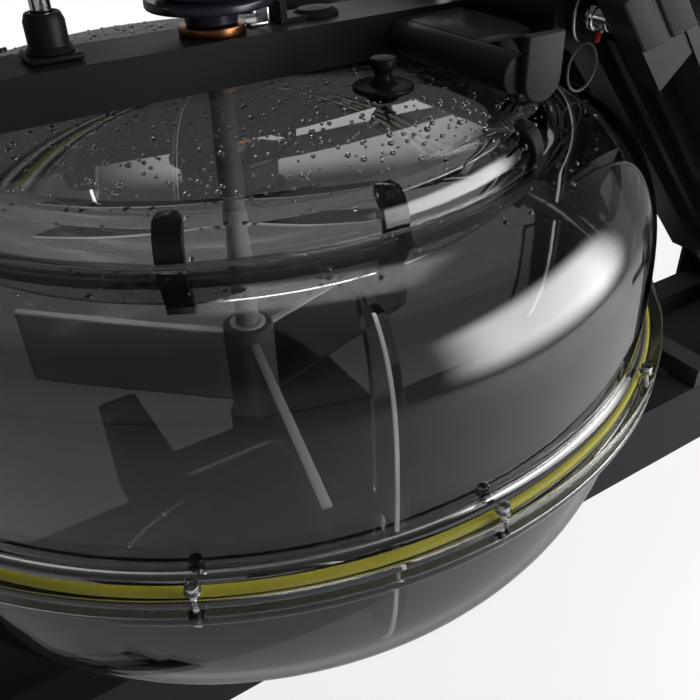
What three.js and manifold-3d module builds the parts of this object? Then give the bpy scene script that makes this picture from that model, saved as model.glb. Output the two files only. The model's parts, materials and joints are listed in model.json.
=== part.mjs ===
// Water rowing machine: a smoked water tank with a spinning paddle stands on twin seat rails,
// under a cross beam that carries the strap drum, the footrests, the handle and the display.
// Millimetres, +Z up. X runs along the machine, with the seat end at +X. The sizes below are
// written from the tank's axis (x = 0) and the plane of its seal (z = 0).
import * as THREE from "three";
import { mergeVertices } from "three/addons/utils/BufferGeometryUtils.js";
import Module from "manifold-3d";

const wasm = await Module();
wasm.setup();

// Shared clearances and facet counts
const fit = 0.3;
const overrun = 6;
const facets = { tank: 40, ring: 24, pin: 12, bolt: 8, hex: 6, cord: 6, arc: 8, corner: 4 };

// Where the tank stands on the floor
const stand = { axisX: -640, sealHeight: 480 };
const floorZ = -stand.sealHeight;

// Tank shells
const shell = {
  radius: 248, wall: 4, flangeOut: 12, flangeThick: 5, boltInset: 5, lobeRadius: 7, boltCount: 12,
};
const flangeRadius = shell.radius + shell.flangeOut;
const boltRadius = flangeRadius - shell.boltInset;
const crown = { flatRadius: 150, base: 8, rise: 108, boxiness: 4, steps: 8 };
const bowl = { flatRadius: 130, base: -8, rise: 119, boxiness: 2.9, steps: 8 };
const mouth = { radius: 177, stepRadius: 188, ledge: 108 };
const seal = { out: 1.5, thick: 4.6 };
const flangeBolt = { shank: 2 };
const cupSize = { radius: 20 };

// Upright posts either side of the tank, the beam over it, and the legs
const post = { side: 40, wall: 2.5, frontOut: 50, rearOut: 45 };
const beam = { width: 44, height: 24.3, top: 155.6, wall: 2.5, frontOver: 4, rearOver: 19 };
const leg = { depth: 50, wall: 3, inset: 74, rearInset: 84 };
const footBar = { depth: 60, height: 30, length: 500, wall: 3 };
const footPad = { height: 12, length: 60, inset: 6, margin: 4, strip: 4 };

// Twin seat rails with the recessed plate between them
const rail = { width: 30, height: 80, wall: 2.5, centreY: 64, top: -220, frontOver: 10, rear: 1644, cap: 4 };
const web = { thick: 3, drop: 23 };

// Transport wheels at the front foot
const wheel = { radius: 30, width: 22, bore: 4, hubRadius: 12, hubDish: 4, tread: 3, lift: 2, inset: 40 };
const wheelFork = { ear: 4, reach: 50, height: 24, boltHead: 7, boltHeadThick: 4 };

// Lid, its gasket, the clips that hold it and the plug in it
const lid = { top: 130, creaseRadius: 166, rimRadius: 183.6, rimZ: 110.8, shoulder: 112.5, wall: 3.6 };
const skirt = { outer: 175.6, wall: 3.6, bottom: 88 };
const gasket = { inner: 179, outer: 187.2, thick: 2.2 };
const clip = {
  count: 6, firstAngle: -120.7, width: 13, inner: 171, outer: 188.6, top: 121, bottom: 86, tailOuter: 184,
};
const plug = {
  x: 63, y: -72, stem: 7, neck: 4.8, flange: 16.5, flangeThick: 3,
  body: 9, depth: 9, height: 17, capHeight: 4,
};

// Fins inside the tank
const fin = { count: 4, firstAngle: -101, inner: 186, thick: 3, top: 88, bottom: -86 };

// Paddle, shaft and bearings
const shaft = { radius: 8, bottom: -119, nutRadius: 12, nutHeight: 7, facets: 24 };
const paddle = {
  hubRadius: 17, hubTop: -30, hubBottom: -104, bladeTop: -38, bladeBottom: -98,
  reach: 176, thick: 5, count: 3, firstAngle: 137,
};
const bushing = { radius: 14.7, collar: 18.5, collarHeight: 4.6 };

// Strap drum over the beam
const drum = {
  flangeRadius: 34.5, flangeThick: 5, coreRadius: 23, neckRadius: 14.5, lower: 170, gap: 27, coilRadius: 30,
};
const strap = { width: 20, thick: 2, height: 188, twistFrom: 60, twistSteps: 15 };

// Guide roller and handle rest at the seat end of the beam
const roller = {
  out: 40, radius: 14, width: 28, lip: 2.5, lipWidth: 3, axle: 4, earThick: 4, earLength: 30, sides: 24,
};
const rest = { out: 125, thick: 4, earGap: 42, lipUp: 16, footReach: 23, footSide: 3 };
const handle = {
  radius: 11, length: 440, gripRadius: 16, gripLength: 140, gripEnd: 4,
  clevisLength: 22, clevisHeight: 24, sides: 20,
};

// Footrest carriers beside the beam
const arm = { x: 110, z: 141.5, radius: 10, sides: 16 };
const tongue = { x: 122, width: 25, top: 161, bottom: 126.5, start: 125, thick: 5 };
const gusset = { z: 148, thick: 4, inset: 9, tipY: 88 };
const gussetTipShare = 8 / 13;
const sleeve = { in: 85, z: 158, radius: 15, start: 26, end: 100, sides: 20 };
const pivot = { radius: 6, end: 123, nut: 7.4, nutStart: 105, nutThick: 9, collarThick: 3 };

// Footplates, leaning back from the heel end
const foot = {
  heelOut: 152, heelZ: -74, toeRun: 645, toeRise: 764, length: 345, inner: 30, outer: 142, thick: 8, rib: 6,
};
const footRibShares = [0.3, 0.5, 0.7];
const footBracket = {
  start: 285, length: 66, depth: 28, inner: 124.5, outer: 141, wall: 4,
  saddleInner: 40, saddleStart: 312, saddleLength: 36,
};
const heel = { start: 26, length: 92, base: 5, wall: 6, height: 46, margin: 8 };
const footStrap = { start: 196, width: 38, thick: 3, rise: 78, insetY: 5 };

// Seat
const seat = {
  x: 722, axleSpread: 180, rollerRadius: 19.7, rollerWidth: 24, axle: 5, axleHead: 8, headThick: 4,
};
const carriage = { length: 250, plate: 5, rise: 42, side: 4, sideGap: 3, skirtDrop: 16 };
const pedestal = {
  length: 130, width: 100, height: 38, wall: 4, deckLength: 220, deckWidth: 270, deckThick: 6,
};
const pad = { length: 260, width: 310, thick: 42, round: 60, deckRound: 30 };
const stop = { length: 22, height: 20, frontOut: 160, rearInset: 48 };

// Display on its rod
const rod = {
  x: -87, radius: 5, top: 330, socketRadius: 10, socketHeight: 22,
  footLength: 36, footWidth: 26, footThick: 4,
};
const head = { width: 150, depth: 104, thick: 26, tilt: 50, corner: 10 };
const knuckle = { radius: 10, width: 16, earThick: 5, pinRadius: 3 };
const screen = { width: 104, depth: 52, thick: 2, shift: 14 };
const button = { radius: 7, height: 6, travel: 1.5, pitch: 32, shift: -34, pocket: 6 };

// Oval cap and guide finger on the beam behind the drum
const dome = {
  x: 64, length: 30, width: 22, height: 5, fingerX: 42, fingerThick: 4, fingerWidth: 16, fingerTop: 168,
};
const domeShares = { rim: 0.3, shoulderRadius: 0.7, shoulder: 0.85 };

// Cradle that carries the tank on the rails
const cradle = { x: 78, width: 30, length: 200, wall: 3, pad: 3, padInset: 3 };

const half = 0.5;
const deg = Math.PI / 180;

// Places along the machine that follow the tank's flange
const frontPostX = -flangeRadius - post.frontOut;
const rearPostX = flangeRadius + post.rearOut;
const rollerX = flangeRadius + roller.out;
const handleX = flangeRadius + rest.out;
const sleeveX = flangeRadius - sleeve.in;
const heelX = flangeRadius + foot.heelOut;
const beamFront = frontPostX - post.side * half - beam.frontOver;
const beamRear = handleX + beam.rearOver;
const railFront = beamFront - rail.frontOver;
const frontLegX = railFront + leg.inset;
const frontStopX = flangeRadius + stop.frontOut;
const rearLegX = rail.rear - leg.rearInset;
const rearStopX = rail.rear - stop.rearInset;

// Materials, with colours taken by eye from the photograph
function material(color, roughness, metalness, opacity = 1) {
  return new THREE.MeshStandardMaterial({ color, roughness, metalness, opacity, transparent: opacity < 1 });
}
const looks = {
  frame: material(0x39353b, 0.45, 0.3),
  black: material(0x161618, 0.5, 0),
  rubber: material(0x1b1b1c, 0.85, 0),
  smoke: material(0x3a3c3d, 0.08, 0, 0.45),
  chrome: material(0xc9ccd0, 0.15, 1),
  steel: material(0x9a9ca0, 0.35, 1),
  brass: material(0xb87a3a, 0.3, 1),
  yellow: material(0xa89a22, 0.5, 0),
  glass: material(0x1d2428, 0.1, 0),
  webbing: material(0x1f1f22, 0.9, 0),
};

// Geometry helpers: every helper returns a closed, merged geometry that faces outward
function closed(geometry) {
  geometry.deleteAttribute("normal");
  geometry.deleteAttribute("uv");
  const merged = mergeVertices(geometry, 1e-4);
  const at = merged.getAttribute("position");
  const source = merged.getIndex().array;
  const kept = [];
  let volume = 0;
  const [a, b, c] = [new THREE.Vector3(), new THREE.Vector3(), new THREE.Vector3()];
  for (let i = 0; i < source.length; i += 3) {
    const [i0, i1, i2] = [source[i], source[i + 1], source[i + 2]];
    if (i0 === i1 || i1 === i2 || i0 === i2) continue;
    a.fromBufferAttribute(at, i0);
    b.fromBufferAttribute(at, i1);
    c.fromBufferAttribute(at, i2);
    volume += a.dot(b.cross(c));
    kept.push(i0, i1, i2);
  }
  if (volume < 0) {
    for (let i = 0; i < kept.length; i += 3) [kept[i], kept[i + 1]] = [kept[i + 1], kept[i]];
  }
  const result = new THREE.BufferGeometry();
  result.setAttribute("position", at);
  result.setIndex(kept);
  return result;
}

function toManifold(geometry) {
  const vertProperties = new Float32Array(geometry.getAttribute("position").array);
  const triVerts = new Uint32Array(geometry.getIndex().array);
  return new wasm.Manifold(new wasm.Mesh({ numProp: 3, vertProperties, triVerts }));
}

function fromManifold(solid) {
  const mesh = solid.getMesh();
  const result = new THREE.BufferGeometry();
  result.setAttribute("position", new THREE.BufferAttribute(new Float32Array(mesh.vertProperties), 3));
  result.setIndex(new THREE.BufferAttribute(new Uint32Array(mesh.triVerts), 1));
  return result;
}

function join(...pieces) {
  return fromManifold(pieces.map(toManifold).reduce((all, next) => all.add(next)));
}

function cut(body, ...tools) {
  return fromManifold(tools.map(toManifold).reduce((left, tool) => left.subtract(tool), toManifold(body)));
}

// Box between two corners
function box(x0, x1, y0, y1, z0, z1) {
  const geometry = new THREE.BoxGeometry(x1 - x0, y1 - y0, z1 - z0);
  return closed(geometry.translate((x0 + x1) * half, (y0 + y1) * half, (z0 + z1) * half));
}

const unit = { x: new THREE.Vector3(1, 0, 0), y: new THREE.Vector3(0, 1, 0), z: new THREE.Vector3(0, 0, 1) };
const frames = {
  x: new THREE.Matrix4().makeBasis(unit.y, unit.z, unit.x),
  y: new THREE.Matrix4().makeBasis(unit.z, unit.x, unit.y),
  z: new THREE.Matrix4(),
};

// Flat outline pushed along an axis from one place to another. Outlines along x are written as
// (y, z), along y as (z, x) and along z as (x, y).
function slab(axis, outline, from, to, holes = []) {
  const points = (list) => list.map(([u, v]) => new THREE.Vector2(u, v));
  const shape = outline instanceof THREE.Shape ? outline : new THREE.Shape(points(outline));
  for (const hole of holes) shape.holes.push(new THREE.Path(points(hole)));
  const settings = { depth: to - from, bevelEnabled: false, curveSegments: facets.corner };
  const geometry = new THREE.ExtrudeGeometry(shape, settings);
  return closed(geometry.translate(0, 0, from).applyMatrix4(frames[axis]));
}

function ring(radius, count, u = 0, v = 0) {
  return Array.from({ length: count }, (unused, i) => {
    const turn = (i * 2 * Math.PI) / count;
    return [u + radius * Math.cos(turn), v + radius * Math.sin(turn)];
  });
}

// Round bar along an axis, with an optional bore
function round(axis, radius, from, to, u = 0, v = 0, count = facets.pin, bore = 0) {
  const holes = bore > 0 ? [ring(bore, count, u, v).reverse()] : [];
  return slab(axis, ring(radius, count, u, v), from, to, holes);
}

// Rectangle outline
function rectangle(u0, u1, v0, v1) {
  return [[u0, v0], [u1, v0], [u1, v1], [u0, v1]];
}

// Box tube pushed along an axis, open at both ends
function tube(axis, u0, u1, v0, v1, wall, from, to) {
  const inner = rectangle(u0 + wall, u1 - wall, v0 + wall, v1 - wall).reverse();
  return slab(axis, rectangle(u0, u1, v0, v1), from, to, [inner]);
}

// Profile of (radius, height) points turned about the tank's axis
function turned(profile, count = facets.ring) {
  const points = profile.map(([r, z]) => new THREE.Vector2(r, z));
  const open = profile[0][0] > 0 || profile[profile.length - 1][0] > 0;
  if (open) points.push(points[0].clone());
  return closed(new THREE.LatheGeometry(points, count).rotateX(Math.PI * half));
}

function moved(geometry, x, y, z) {
  return geometry.translate(x, y, z);
}

function spun(geometry, angle) {
  return geometry.rotateZ(angle * deg);
}

function mirrored(geometry) {
  const copy = geometry.clone();
  copy.scale(1, -1, 1);
  return closed(copy);
}

const machine = new THREE.Group();
machine.position.set(stand.axisX, 0, stand.sealHeight);

function add(name, look, geometry, parent = machine) {
  const mesh = new THREE.Mesh(geometry, look);
  mesh.name = name;
  parent.add(mesh);
}

// The piece at +Y, on the rower's right, and its mirrored copy on the left
function addPair(name, look, geometry) {
  add("right_" + name, look, geometry);
  add("left_" + name, look, mirrored(geometry));
}

// Rails, recessed plate and end caps
const railBottom = rail.top - rail.height;
const railInner = rail.centreY - rail.width * half;
const railOuter = rail.centreY + rail.width * half;
const webTop = rail.top - web.drop;

function makeRails() {
  addPair("rail", looks.frame,
    tube("x", railInner, railOuter, railBottom, rail.top, rail.wall, railFront, rail.rear));
  const reach = railInner - fit;
  add("web_plate", looks.frame, box(railFront, rail.rear, -reach, reach, webTop - web.thick, webTop));
}

// One moulded cap closes both rails at each end: a plate with a spigot in each rail
function makeEndCaps() {
  const inset = rail.wall + fit;
  const outline = rectangle(railInner + inset, railOuter - inset, railBottom + inset, rail.top - inset);
  for (const [name, x, away] of [["front_end_cap", railFront, -1], ["rear_end_cap", rail.rear, 1]]) {
    const [near, far, deep] = [x + away * fit, x + away * rail.cap, x - away * rail.cap * 3];
    const plate = box(Math.min(near, far), Math.max(near, far), -railOuter, railOuter, railBottom, rail.top);
    const spigot = slab("x", outline, Math.min(far, deep), Math.max(far, deep));
    add(name, looks.black, join(plate, spigot, mirrored(spigot)));
  }
}

// Posts, beam, legs and feet
const beamBottom = beam.top - beam.height;

function makePosts() {
  const reach = post.side * half;
  for (const [name, x] of [["front_post", frontPostX], ["rear_post", rearPostX]]) {
    add(name, looks.frame,
      tube("z", x - reach, x + reach, -reach, reach, post.wall, webTop + fit, beamBottom - fit));
  }
}

// Box beam with welded ends, bored for the bush of the shaft
function makeBeam() {
  const reach = beam.width * half;
  const wall = beam.wall;
  const outside = box(beamFront, beamRear, -reach, reach, beamBottom, beam.top);
  const inside = box(beamFront + wall, beamRear - wall, wall - reach, reach - wall,
    beamBottom + wall, beam.top - wall);
  const bore = round("z", bushing.radius + fit, beamBottom - overrun, beam.top + overrun, 0, 0, facets.ring);
  add("upper_beam", looks.frame, cut(outside, inside, bore));
}

const footTop = floorZ + footPad.height + footBar.height;

function makeLegs() {
  for (const [name, x] of [["front_leg", frontLegX], ["rear_leg", rearLegX]]) {
    add(name, looks.frame,
      tube("z", x - leg.depth * half, x + leg.depth * half, -railOuter, railOuter, leg.wall,
        footTop + fit, railBottom - fit));
  }
}

const wheelX = frontLegX - footBar.depth * half - wheelFork.reach + wheelFork.height * half;
const wheelZ = floorZ + wheel.lift + wheel.radius;
const wheelY = footBar.length * half - wheel.inset;
const forkInner = wheel.width * half + fit * 3;

function wheelBracket(side) {
  const y = side * wheelY;
  const barFront = frontLegX - footBar.depth * half;
  const outerReach = forkInner + wheelFork.ear;
  const low = wheelZ - wheelFork.height * half;
  const high = wheelZ + wheelFork.height * half;
  const tip = wheelX - wheelFork.height * half;
  const past = outerReach + overrun;
  const hole = round("y", wheel.bore + fit, y - past, y + past, wheelZ, wheelX);
  const ears = [-1, 1].map((s) => {
    const [a, b] = [y + s * forkInner, y + s * outerReach];
    return box(tip, barFront + fit, Math.min(a, b), Math.max(a, b), low, high);
  });
  return cut(join(...ears), hole);
}

function makeFeet() {
  const reach = footBar.length * half;
  const low = floorZ + footPad.height;
  const side = footBar.depth * half;
  const [front, rear] = [frontLegX, rearLegX].map((x) =>
    tube("y", low, footTop, x - side, x + side, footBar.wall, -reach, reach));
  add("front_foot_bar", looks.frame, join(front, wheelBracket(1), wheelBracket(-1)));
  add("rear_foot_bar", looks.frame, rear);
  for (const [name, x] of [["front_foot_pad", frontLegX], ["rear_foot_pad", rearLegX]]) {
    add(name, looks.rubber, footPadAt(x));
  }
}

// Rubber tread under a foot bar: a thin strip with a deeper block at each end
function footPadAt(x) {
  const reach = footBar.length * half - footPad.inset;
  const side = footBar.depth * half - footPad.margin;
  const top = floorZ + footPad.height - fit;
  const strip = box(x - side, x + side, -reach, reach, top - footPad.strip, top);
  const block = box(x - side, x + side, reach - footPad.length, reach, floorZ, top);
  return join(strip, block, mirrored(block));
}

function makeWheels() {
  const side = wheel.width * half;
  const bore = wheel.bore + fit;
  const profile = [
    [bore, -side], [wheel.hubRadius, -side], [wheel.radius - wheel.tread * 2, wheel.hubDish - side],
    [wheel.radius, wheel.tread - side], [wheel.radius, side - wheel.tread],
    [wheel.radius - wheel.tread * 2, side - wheel.hubDish], [wheel.hubRadius, side], [bore, side],
  ];
  for (const [name, s] of [["right_wheel", 1], ["left_wheel", -1]]) {
    const tyre = closed(turned(profile, facets.ring).rotateX(Math.PI * half));
    add(name, looks.rubber, moved(tyre, wheelX, s * wheelY, wheelZ));
  }
  const reach = wheelY + forkInner + wheelFork.ear + fit;
  const bar = round("y", wheel.bore, -reach, reach, wheelZ, wheelX);
  const end = reach + wheelFork.boltHeadThick;
  const bolt = round("y", wheelFork.boltHead, reach, end, wheelZ, wheelX, facets.bolt);
  add("wheel_axle", looks.steel, join(bar, bolt, mirrored(bolt)));
}

// Tank: a boxy curve in (radius, height) that the crown and the bowl share
function boxyCurve(form, inset, endRadius, direction) {
  const power = 2 / form.boxiness;
  const span = shell.radius - inset - form.flatRadius;
  const rise = form.rise - inset;
  const endCos = Math.max(0, (endRadius - form.flatRadius) / span) ** (1 / power);
  const end = Math.acos(endCos);
  return Array.from({ length: form.steps + 1 }, (unused, i) => {
    const turn = (end * i) / form.steps;
    const r = form.flatRadius + span * Math.cos(turn) ** power;
    return [r, form.base + direction * rise * Math.sin(turn) ** power];
  });
}

const bowlBottom = bowl.base - bowl.rise;
const flangeNear = seal.thick * half + fit;
const flangeFar = flangeNear + shell.flangeThick;

// Bolt lobes on a flange, and the holes through them
function withLobes(body, low, high) {
  const angles = Array.from({ length: shell.boltCount }, (unused, i) => -90 + (i * 360) / shell.boltCount);
  const lobes = angles.map((angle) =>
    spun(round("z", shell.lobeRadius, low, high, boltRadius, 0, facets.arc), angle));
  const bore = flangeBolt.shank + fit;
  const holes = angles.map((angle) =>
    spun(round("z", bore, low - overrun, high + overrun, boltRadius, 0, facets.hex), angle));
  return cut(join(body, ...lobes), ...holes);
}

// Notches through the mouth of the tank for the lid's clips
function clipNotches(extra) {
  return Array.from({ length: clip.count }, (unused, i) => {
    const reach = clip.width * half + extra;
    const notch = box(clip.inner - extra, clip.outer + extra, -reach, reach,
      clip.bottom - overrun, clip.top + overrun);
    return spun(notch, clip.firstAngle + (i * 360) / clip.count);
  });
}

function makeShells() {
  const outer = boxyCurve(crown, 0, mouth.stepRadius, 1);
  const inner = boxyCurve(crown, shell.wall, mouth.stepRadius + shell.wall, 1).reverse();
  const underLip = mouth.ledge - shell.wall;
  const top = [
    [shell.radius - shell.wall, flangeNear], [flangeRadius, flangeNear],
    [flangeRadius, flangeFar], ...outer, [mouth.stepRadius, mouth.ledge], [mouth.radius, mouth.ledge],
    [mouth.radius, underLip], [mouth.stepRadius + shell.wall, underLip], ...inner,
  ];
  const crownBody = withLobes(turned(top, facets.tank), flangeNear, flangeFar);
  const crownNotched = cut(crownBody, ...clipNotches(fit));
  add("upper_shell", looks.smoke, join(crownNotched, ...makeFins(crown, 1, fin.top)));

  const bowlOuter = boxyCurve(bowl, 0, bowl.flatRadius, -1).reverse();
  const bowlInner = boxyCurve(bowl, shell.wall, bowl.flatRadius, -1);
  const under = [
    [0, bowlBottom], ...bowlOuter, [flangeRadius, -flangeFar], [flangeRadius, -flangeNear],
    [shell.radius - shell.wall, -flangeNear], ...bowlInner, [0, bowlBottom + shell.wall],
  ];
  const bowlBody = withLobes(turned(under, facets.tank), -flangeFar, -flangeNear);
  add("lower_shell", looks.smoke, join(bowlBody, makeBowlCup(), ...makeFins(bowl, -1, fin.bottom)));
}

// Cup in the middle of the bowl, where the foot of the shaft turns
function makeBowlCup() {
  const top = paddle.hubBottom - fit * 2;
  const cup = round("z", cupSize.radius, bowlBottom + shell.wall * half, top, 0, 0, shaft.facets);
  return cut(cup, round("z", shaft.radius + fit, shaft.bottom - fit, top + overrun, 0, 0, shaft.facets));
}

// Upright fins moulded on the wall, in the crown and in the bowl
function makeFins(form, direction, end) {
  const near = direction * flangeFar;
  const wall = boxyCurve(form, shell.wall * half, form.flatRadius, direction)
    .filter(([r, z]) => r > fin.inner && Math.abs(z) < Math.abs(end));
  const outline = [[near, fin.inner], ...wall.map(([r, z]) => [z, r]), [end, fin.inner]];
  return Array.from({ length: fin.count }, (unused, i) => {
    const one = slab("y", outline, -fin.thick * half, fin.thick * half);
    return spun(one, fin.firstAngle + (i * 360) / fin.count);
  });
}

function makeSeal() {
  const section = ring(seal.thick * half, facets.cord, shell.radius + seal.out, 0);
  add("seal_cord", looks.yellow, turned(section, facets.tank));
}

// Lid with its domed shoulder and its skirt down into the mouth
function makeLid() {
  const bore = bushing.radius + fit;
  const inner = lid.wall;
  const shoulderMid = [
    (lid.creaseRadius + lid.rimRadius + inner) * half, (lid.top + lid.shoulder + inner) * half,
  ];
  const skirtInner = skirt.outer - skirt.wall;
  const profile = [
    [bore, lid.top - inner], [lid.creaseRadius - inner, lid.top - inner], [skirtInner, lid.shoulder],
    [skirtInner, skirt.bottom], [skirt.outer, skirt.bottom], [skirt.outer, lid.rimZ],
    [lid.rimRadius, lid.rimZ], [lid.rimRadius, lid.shoulder], shoulderMid,
    [lid.creaseRadius, lid.top], [bore, lid.top],
  ];
  const hole = round("z", plug.body + fit, lid.top - overrun, lid.top + overrun, plug.x, plug.y, facets.pin);
  add("lid", looks.smoke, cut(turned(profile, facets.tank), hole, ...clipNotches(fit)));
}

// Black seal ring under the lid's rim, with the hooks that clip over it
function makeGasket() {
  const low = mouth.ledge + fit;
  const strip = rectangle(gasket.inner, gasket.outer, low, low + gasket.thick);
  add("lid_gasket", looks.rubber, join(turned(strip, facets.tank), ...makeClips()));
}

function makeClips() {
  const [low, high] = [clip.bottom + fit, clip.top];
  const nose = (high - mouth.ledge) * half;
  const underLip = mouth.ledge - shell.wall;
  const outline = [
    [low, clip.inner], [low, clip.tailOuter], [underLip, clip.tailOuter],
    [underLip, clip.outer], [high - nose, clip.outer], [high, clip.outer - nose],
    [high, clip.inner + nose], [high - nose, clip.inner],
  ];
  const reach = clip.width * half;
  return Array.from({ length: clip.count }, (unused, i) =>
    spun(slab("y", outline, -reach, reach), clip.firstAngle + (i * 360) / clip.count));
}

function makePlug() {
  const under = lid.top + fit;
  const flangeTop = under + plug.flangeThick;
  const top = lid.top + plug.height;
  const profile = [
    [0, lid.top - plug.depth], [plug.body - plug.flangeThick * half, lid.top - plug.depth],
    [plug.body, lid.top - plug.depth * half], [plug.body, under], [plug.flange, under],
    [plug.flange, flangeTop], [plug.neck + plug.flangeThick, flangeTop],
    [plug.neck, top - plug.capHeight * 2], [plug.stem, top - plug.capHeight], [plug.stem, top], [0, top],
  ];
  add("fill_plug", looks.black, moved(turned(profile, facets.pin), plug.x, plug.y, 0));
}

// Cradle on the rails: two bars and the strap plate between them, with a rubber pad on top
function makeCradle() {
  const low = rail.top + fit;
  const top = bowlBottom - fit - cradle.pad - fit;
  const reach = cradle.length * half;
  const side = cradle.width * half;
  const bars = [-cradle.x, cradle.x].map((x) =>
    tube("y", low, top, x - side, x + side, cradle.wall, -reach, reach));
  const tie = box(-cradle.x, cradle.x, -side, side, low, low + cradle.wall);
  add("tank_cradle", looks.frame, join(...bars, tie));
  const inset = cradle.padInset;
  const strips = [-cradle.x, cradle.x].map((x) =>
    box(x - side + inset, x + side - inset, inset - reach, reach - inset, top + fit, top + fit + cradle.pad));
  const bridge = box(-cradle.x, cradle.x, inset - side, side - inset, top + fit, top + fit + cradle.pad);
  add("cradle_pad", looks.rubber, join(...strips, bridge));
}

// Shaft with its top nut, the paddle on it, and what they turn in
function makeShaft() {
  const count = shaft.facets;
  const top = drumTop + fit + shaft.nutHeight;
  const rodPart = round("z", shaft.radius, shaft.bottom, top, 0, 0, count);
  const nut = round("z", shaft.nutRadius, drumTop + fit, top, 0, 0, facets.hex);
  add("shaft", looks.steel, join(rodPart, nut));
}

function makePaddle() {
  const count = shaft.facets;
  const hub = round("z", paddle.hubRadius, paddle.hubBottom, paddle.hubTop, 0, 0, count);
  const blades = Array.from({ length: paddle.count }, (unused, i) => {
    const thick = paddle.thick * half;
    const blade = box(shaft.radius, paddle.reach, -thick, thick, paddle.bladeBottom, paddle.bladeTop);
    return spun(blade, paddle.firstAngle + (i * 360) / paddle.count);
  });
  const [under, over] = [paddle.hubBottom - overrun, paddle.hubTop + overrun];
  const bore = round("z", shaft.radius + fit, under, over, 0, 0, count);
  add("paddle", looks.black, cut(join(hub, ...blades), bore));
}

// Brass bush through the lid and the beam, with its collar on the beam
function makeBush() {
  const count = shaft.facets;
  const collarLow = beam.top + fit;
  const collarTop = collarLow + bushing.collarHeight;
  const body = round("z", bushing.radius, lid.top - lid.wall, collarTop, 0, 0, count);
  const flange = round("z", bushing.collar, collarLow, collarTop, 0, 0, count);
  const bore = round("z", shaft.radius + fit, lid.top - overrun, collarTop + overrun, 0, 0, count);
  add("shaft_bush", looks.brass, cut(join(body, flange), bore));
}

// Drum, with the strap wound on it
const handleZ = strap.height;
const coilLow = drum.lower + drum.flangeThick;
const drumTop = coilLow + drum.gap + drum.flangeThick;

function makeDrum() {
  const bore = shaft.radius + fit;
  const low = beam.top + bushing.collarHeight + fit * 2;
  const lip = drum.flangeThick * half;
  const profile = [
    [bore, low], [drum.neckRadius, low], [drum.neckRadius, drum.lower], [drum.flangeRadius - lip, drum.lower],
    [drum.flangeRadius, drum.lower + lip], [drum.flangeRadius - lip, coilLow], [drum.coreRadius, coilLow],
    [drum.coreRadius, drumTop - drum.flangeThick], [drum.flangeRadius - lip, drumTop - drum.flangeThick],
    [drum.flangeRadius, drumTop - lip], [drum.flangeRadius - lip, drumTop], [bore, drumTop],
  ];
  const reach = strap.width * half;
  const coil = round("z", drum.coilRadius, strap.height - reach, strap.height + reach, 0, 0,
    shaft.facets, drum.coreRadius - fit);
  add("drum", looks.black, join(turned(profile, shaft.facets), coil));
}

// Pull strap: it leaves the drum on edge, lies flat on the roller and ends at the handle
function strapSection(x, y, turn) {
  const [w, h] = [strap.width * half, strap.thick * half];
  return [[-w, -h], [w, -h], [w, h], [-w, h]].map(([a, b]) =>
    [x, y + a * Math.cos(turn) - b * Math.sin(turn), strap.height + a * Math.sin(turn) + b * Math.cos(turn)]);
}

function makeStrap() {
  const leave = drum.coilRadius + fit * 2 + strap.thick * half;
  const sections = Array.from({ length: strap.twistSteps + 1 }, (unused, i) => {
    const x = (rollerX * i) / strap.twistSteps;
    const upright = Math.min(1, (rollerX - x) / (rollerX - strap.twistFrom));
    return strapSection(x, leave * (1 - x / rollerX), upright * Math.PI * half);
  });
  sections.push(strapSection(handleX - handle.radius - handle.clevisLength - fit, 0, 0));
  const sides = sections[0].length;
  const faces = [];
  for (let i = 0; i + 1 < sections.length; i += 1) {
    for (let k = 0; k < sides; k += 1) {
      const [a, b] = [i * sides + k, i * sides + ((k + 1) % sides)];
      faces.push(a, b, b + sides, a, b + sides, a + sides);
    }
  }
  const last = (sections.length - 1) * sides;
  faces.push(0, 2, 1, 0, 3, 2, last, last + 1, last + 2, last, last + 2, last + 3);
  const geometry = new THREE.BufferGeometry();
  geometry.setAttribute("position", new THREE.Float32BufferAttribute(sections.flat(2), 3));
  geometry.setIndex(faces);
  add("pull_strap", looks.webbing, closed(geometry));
}

// Roller with its own axle, in a bracket on the beam
const rollerZ = strap.height - strap.thick * half - fit - roller.radius;

function makeRoller() {
  const side = roller.width * half;
  const lipRadius = roller.radius + roller.lip;
  const inner = side + fit * 2;
  const outer = inner + roller.earThick;
  const profile = [
    [0, -outer], [roller.axle, -outer], [roller.axle, -side], [lipRadius, -side],
    [lipRadius, roller.lipWidth - side], [roller.radius, roller.lipWidth - side],
    [roller.radius, side - roller.lipWidth], [lipRadius, side - roller.lipWidth], [lipRadius, side],
    [roller.axle, side], [roller.axle, outer], [0, outer],
  ];
  const body = closed(turned(profile, roller.sides).rotateX(Math.PI * half));
  add("guide_roller", looks.black, moved(body, rollerX, 0, rollerZ));

  const low = beam.top + fit;
  const reach = roller.earLength * half;
  const high = rollerZ + reach * half;
  const base = box(rollerX - reach, rollerX + reach, -outer, outer, low, low + roller.earThick * half);
  const ear = box(rollerX - reach, rollerX + reach, inner, outer, low, high);
  const hole = round("y", roller.axle + fit, -outer - overrun, outer + overrun, rollerZ, rollerX);
  const room = round("y", lipRadius + fit * 2, -inner, inner, rollerZ, rollerX, roller.sides);
  add("roller_bracket", looks.frame, cut(join(base, ear, mirrored(ear)), hole, room));
}

// Rest that the handle lies on, open toward the seat, and the handle
function makeRest() {
  const low = beam.top + fit;
  const shelf = handleZ - handle.radius - fit;
  const back = handleX - handle.radius - fit * 2;
  const tip = handleX + handle.radius;
  const footFront = handleX - rest.footReach;
  const outline = [
    [low, footFront], [low, tip], [low + rest.thick, tip], [shelf, tip], [shelf, back],
    [shelf + rest.lipUp, back], [shelf + rest.lipUp, back - rest.thick],
    [shelf - rest.lipUp, footFront],
  ];
  const inner = rest.earGap * half - rest.thick;
  const ear = slab("y", outline, inner, inner + rest.thick);
  const side = inner + rest.footSide;
  const base = box(footFront, tip, -side, side, low, low + rest.thick);
  add("handle_rest", looks.frame, join(base, ear, mirrored(ear)));
}

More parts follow.
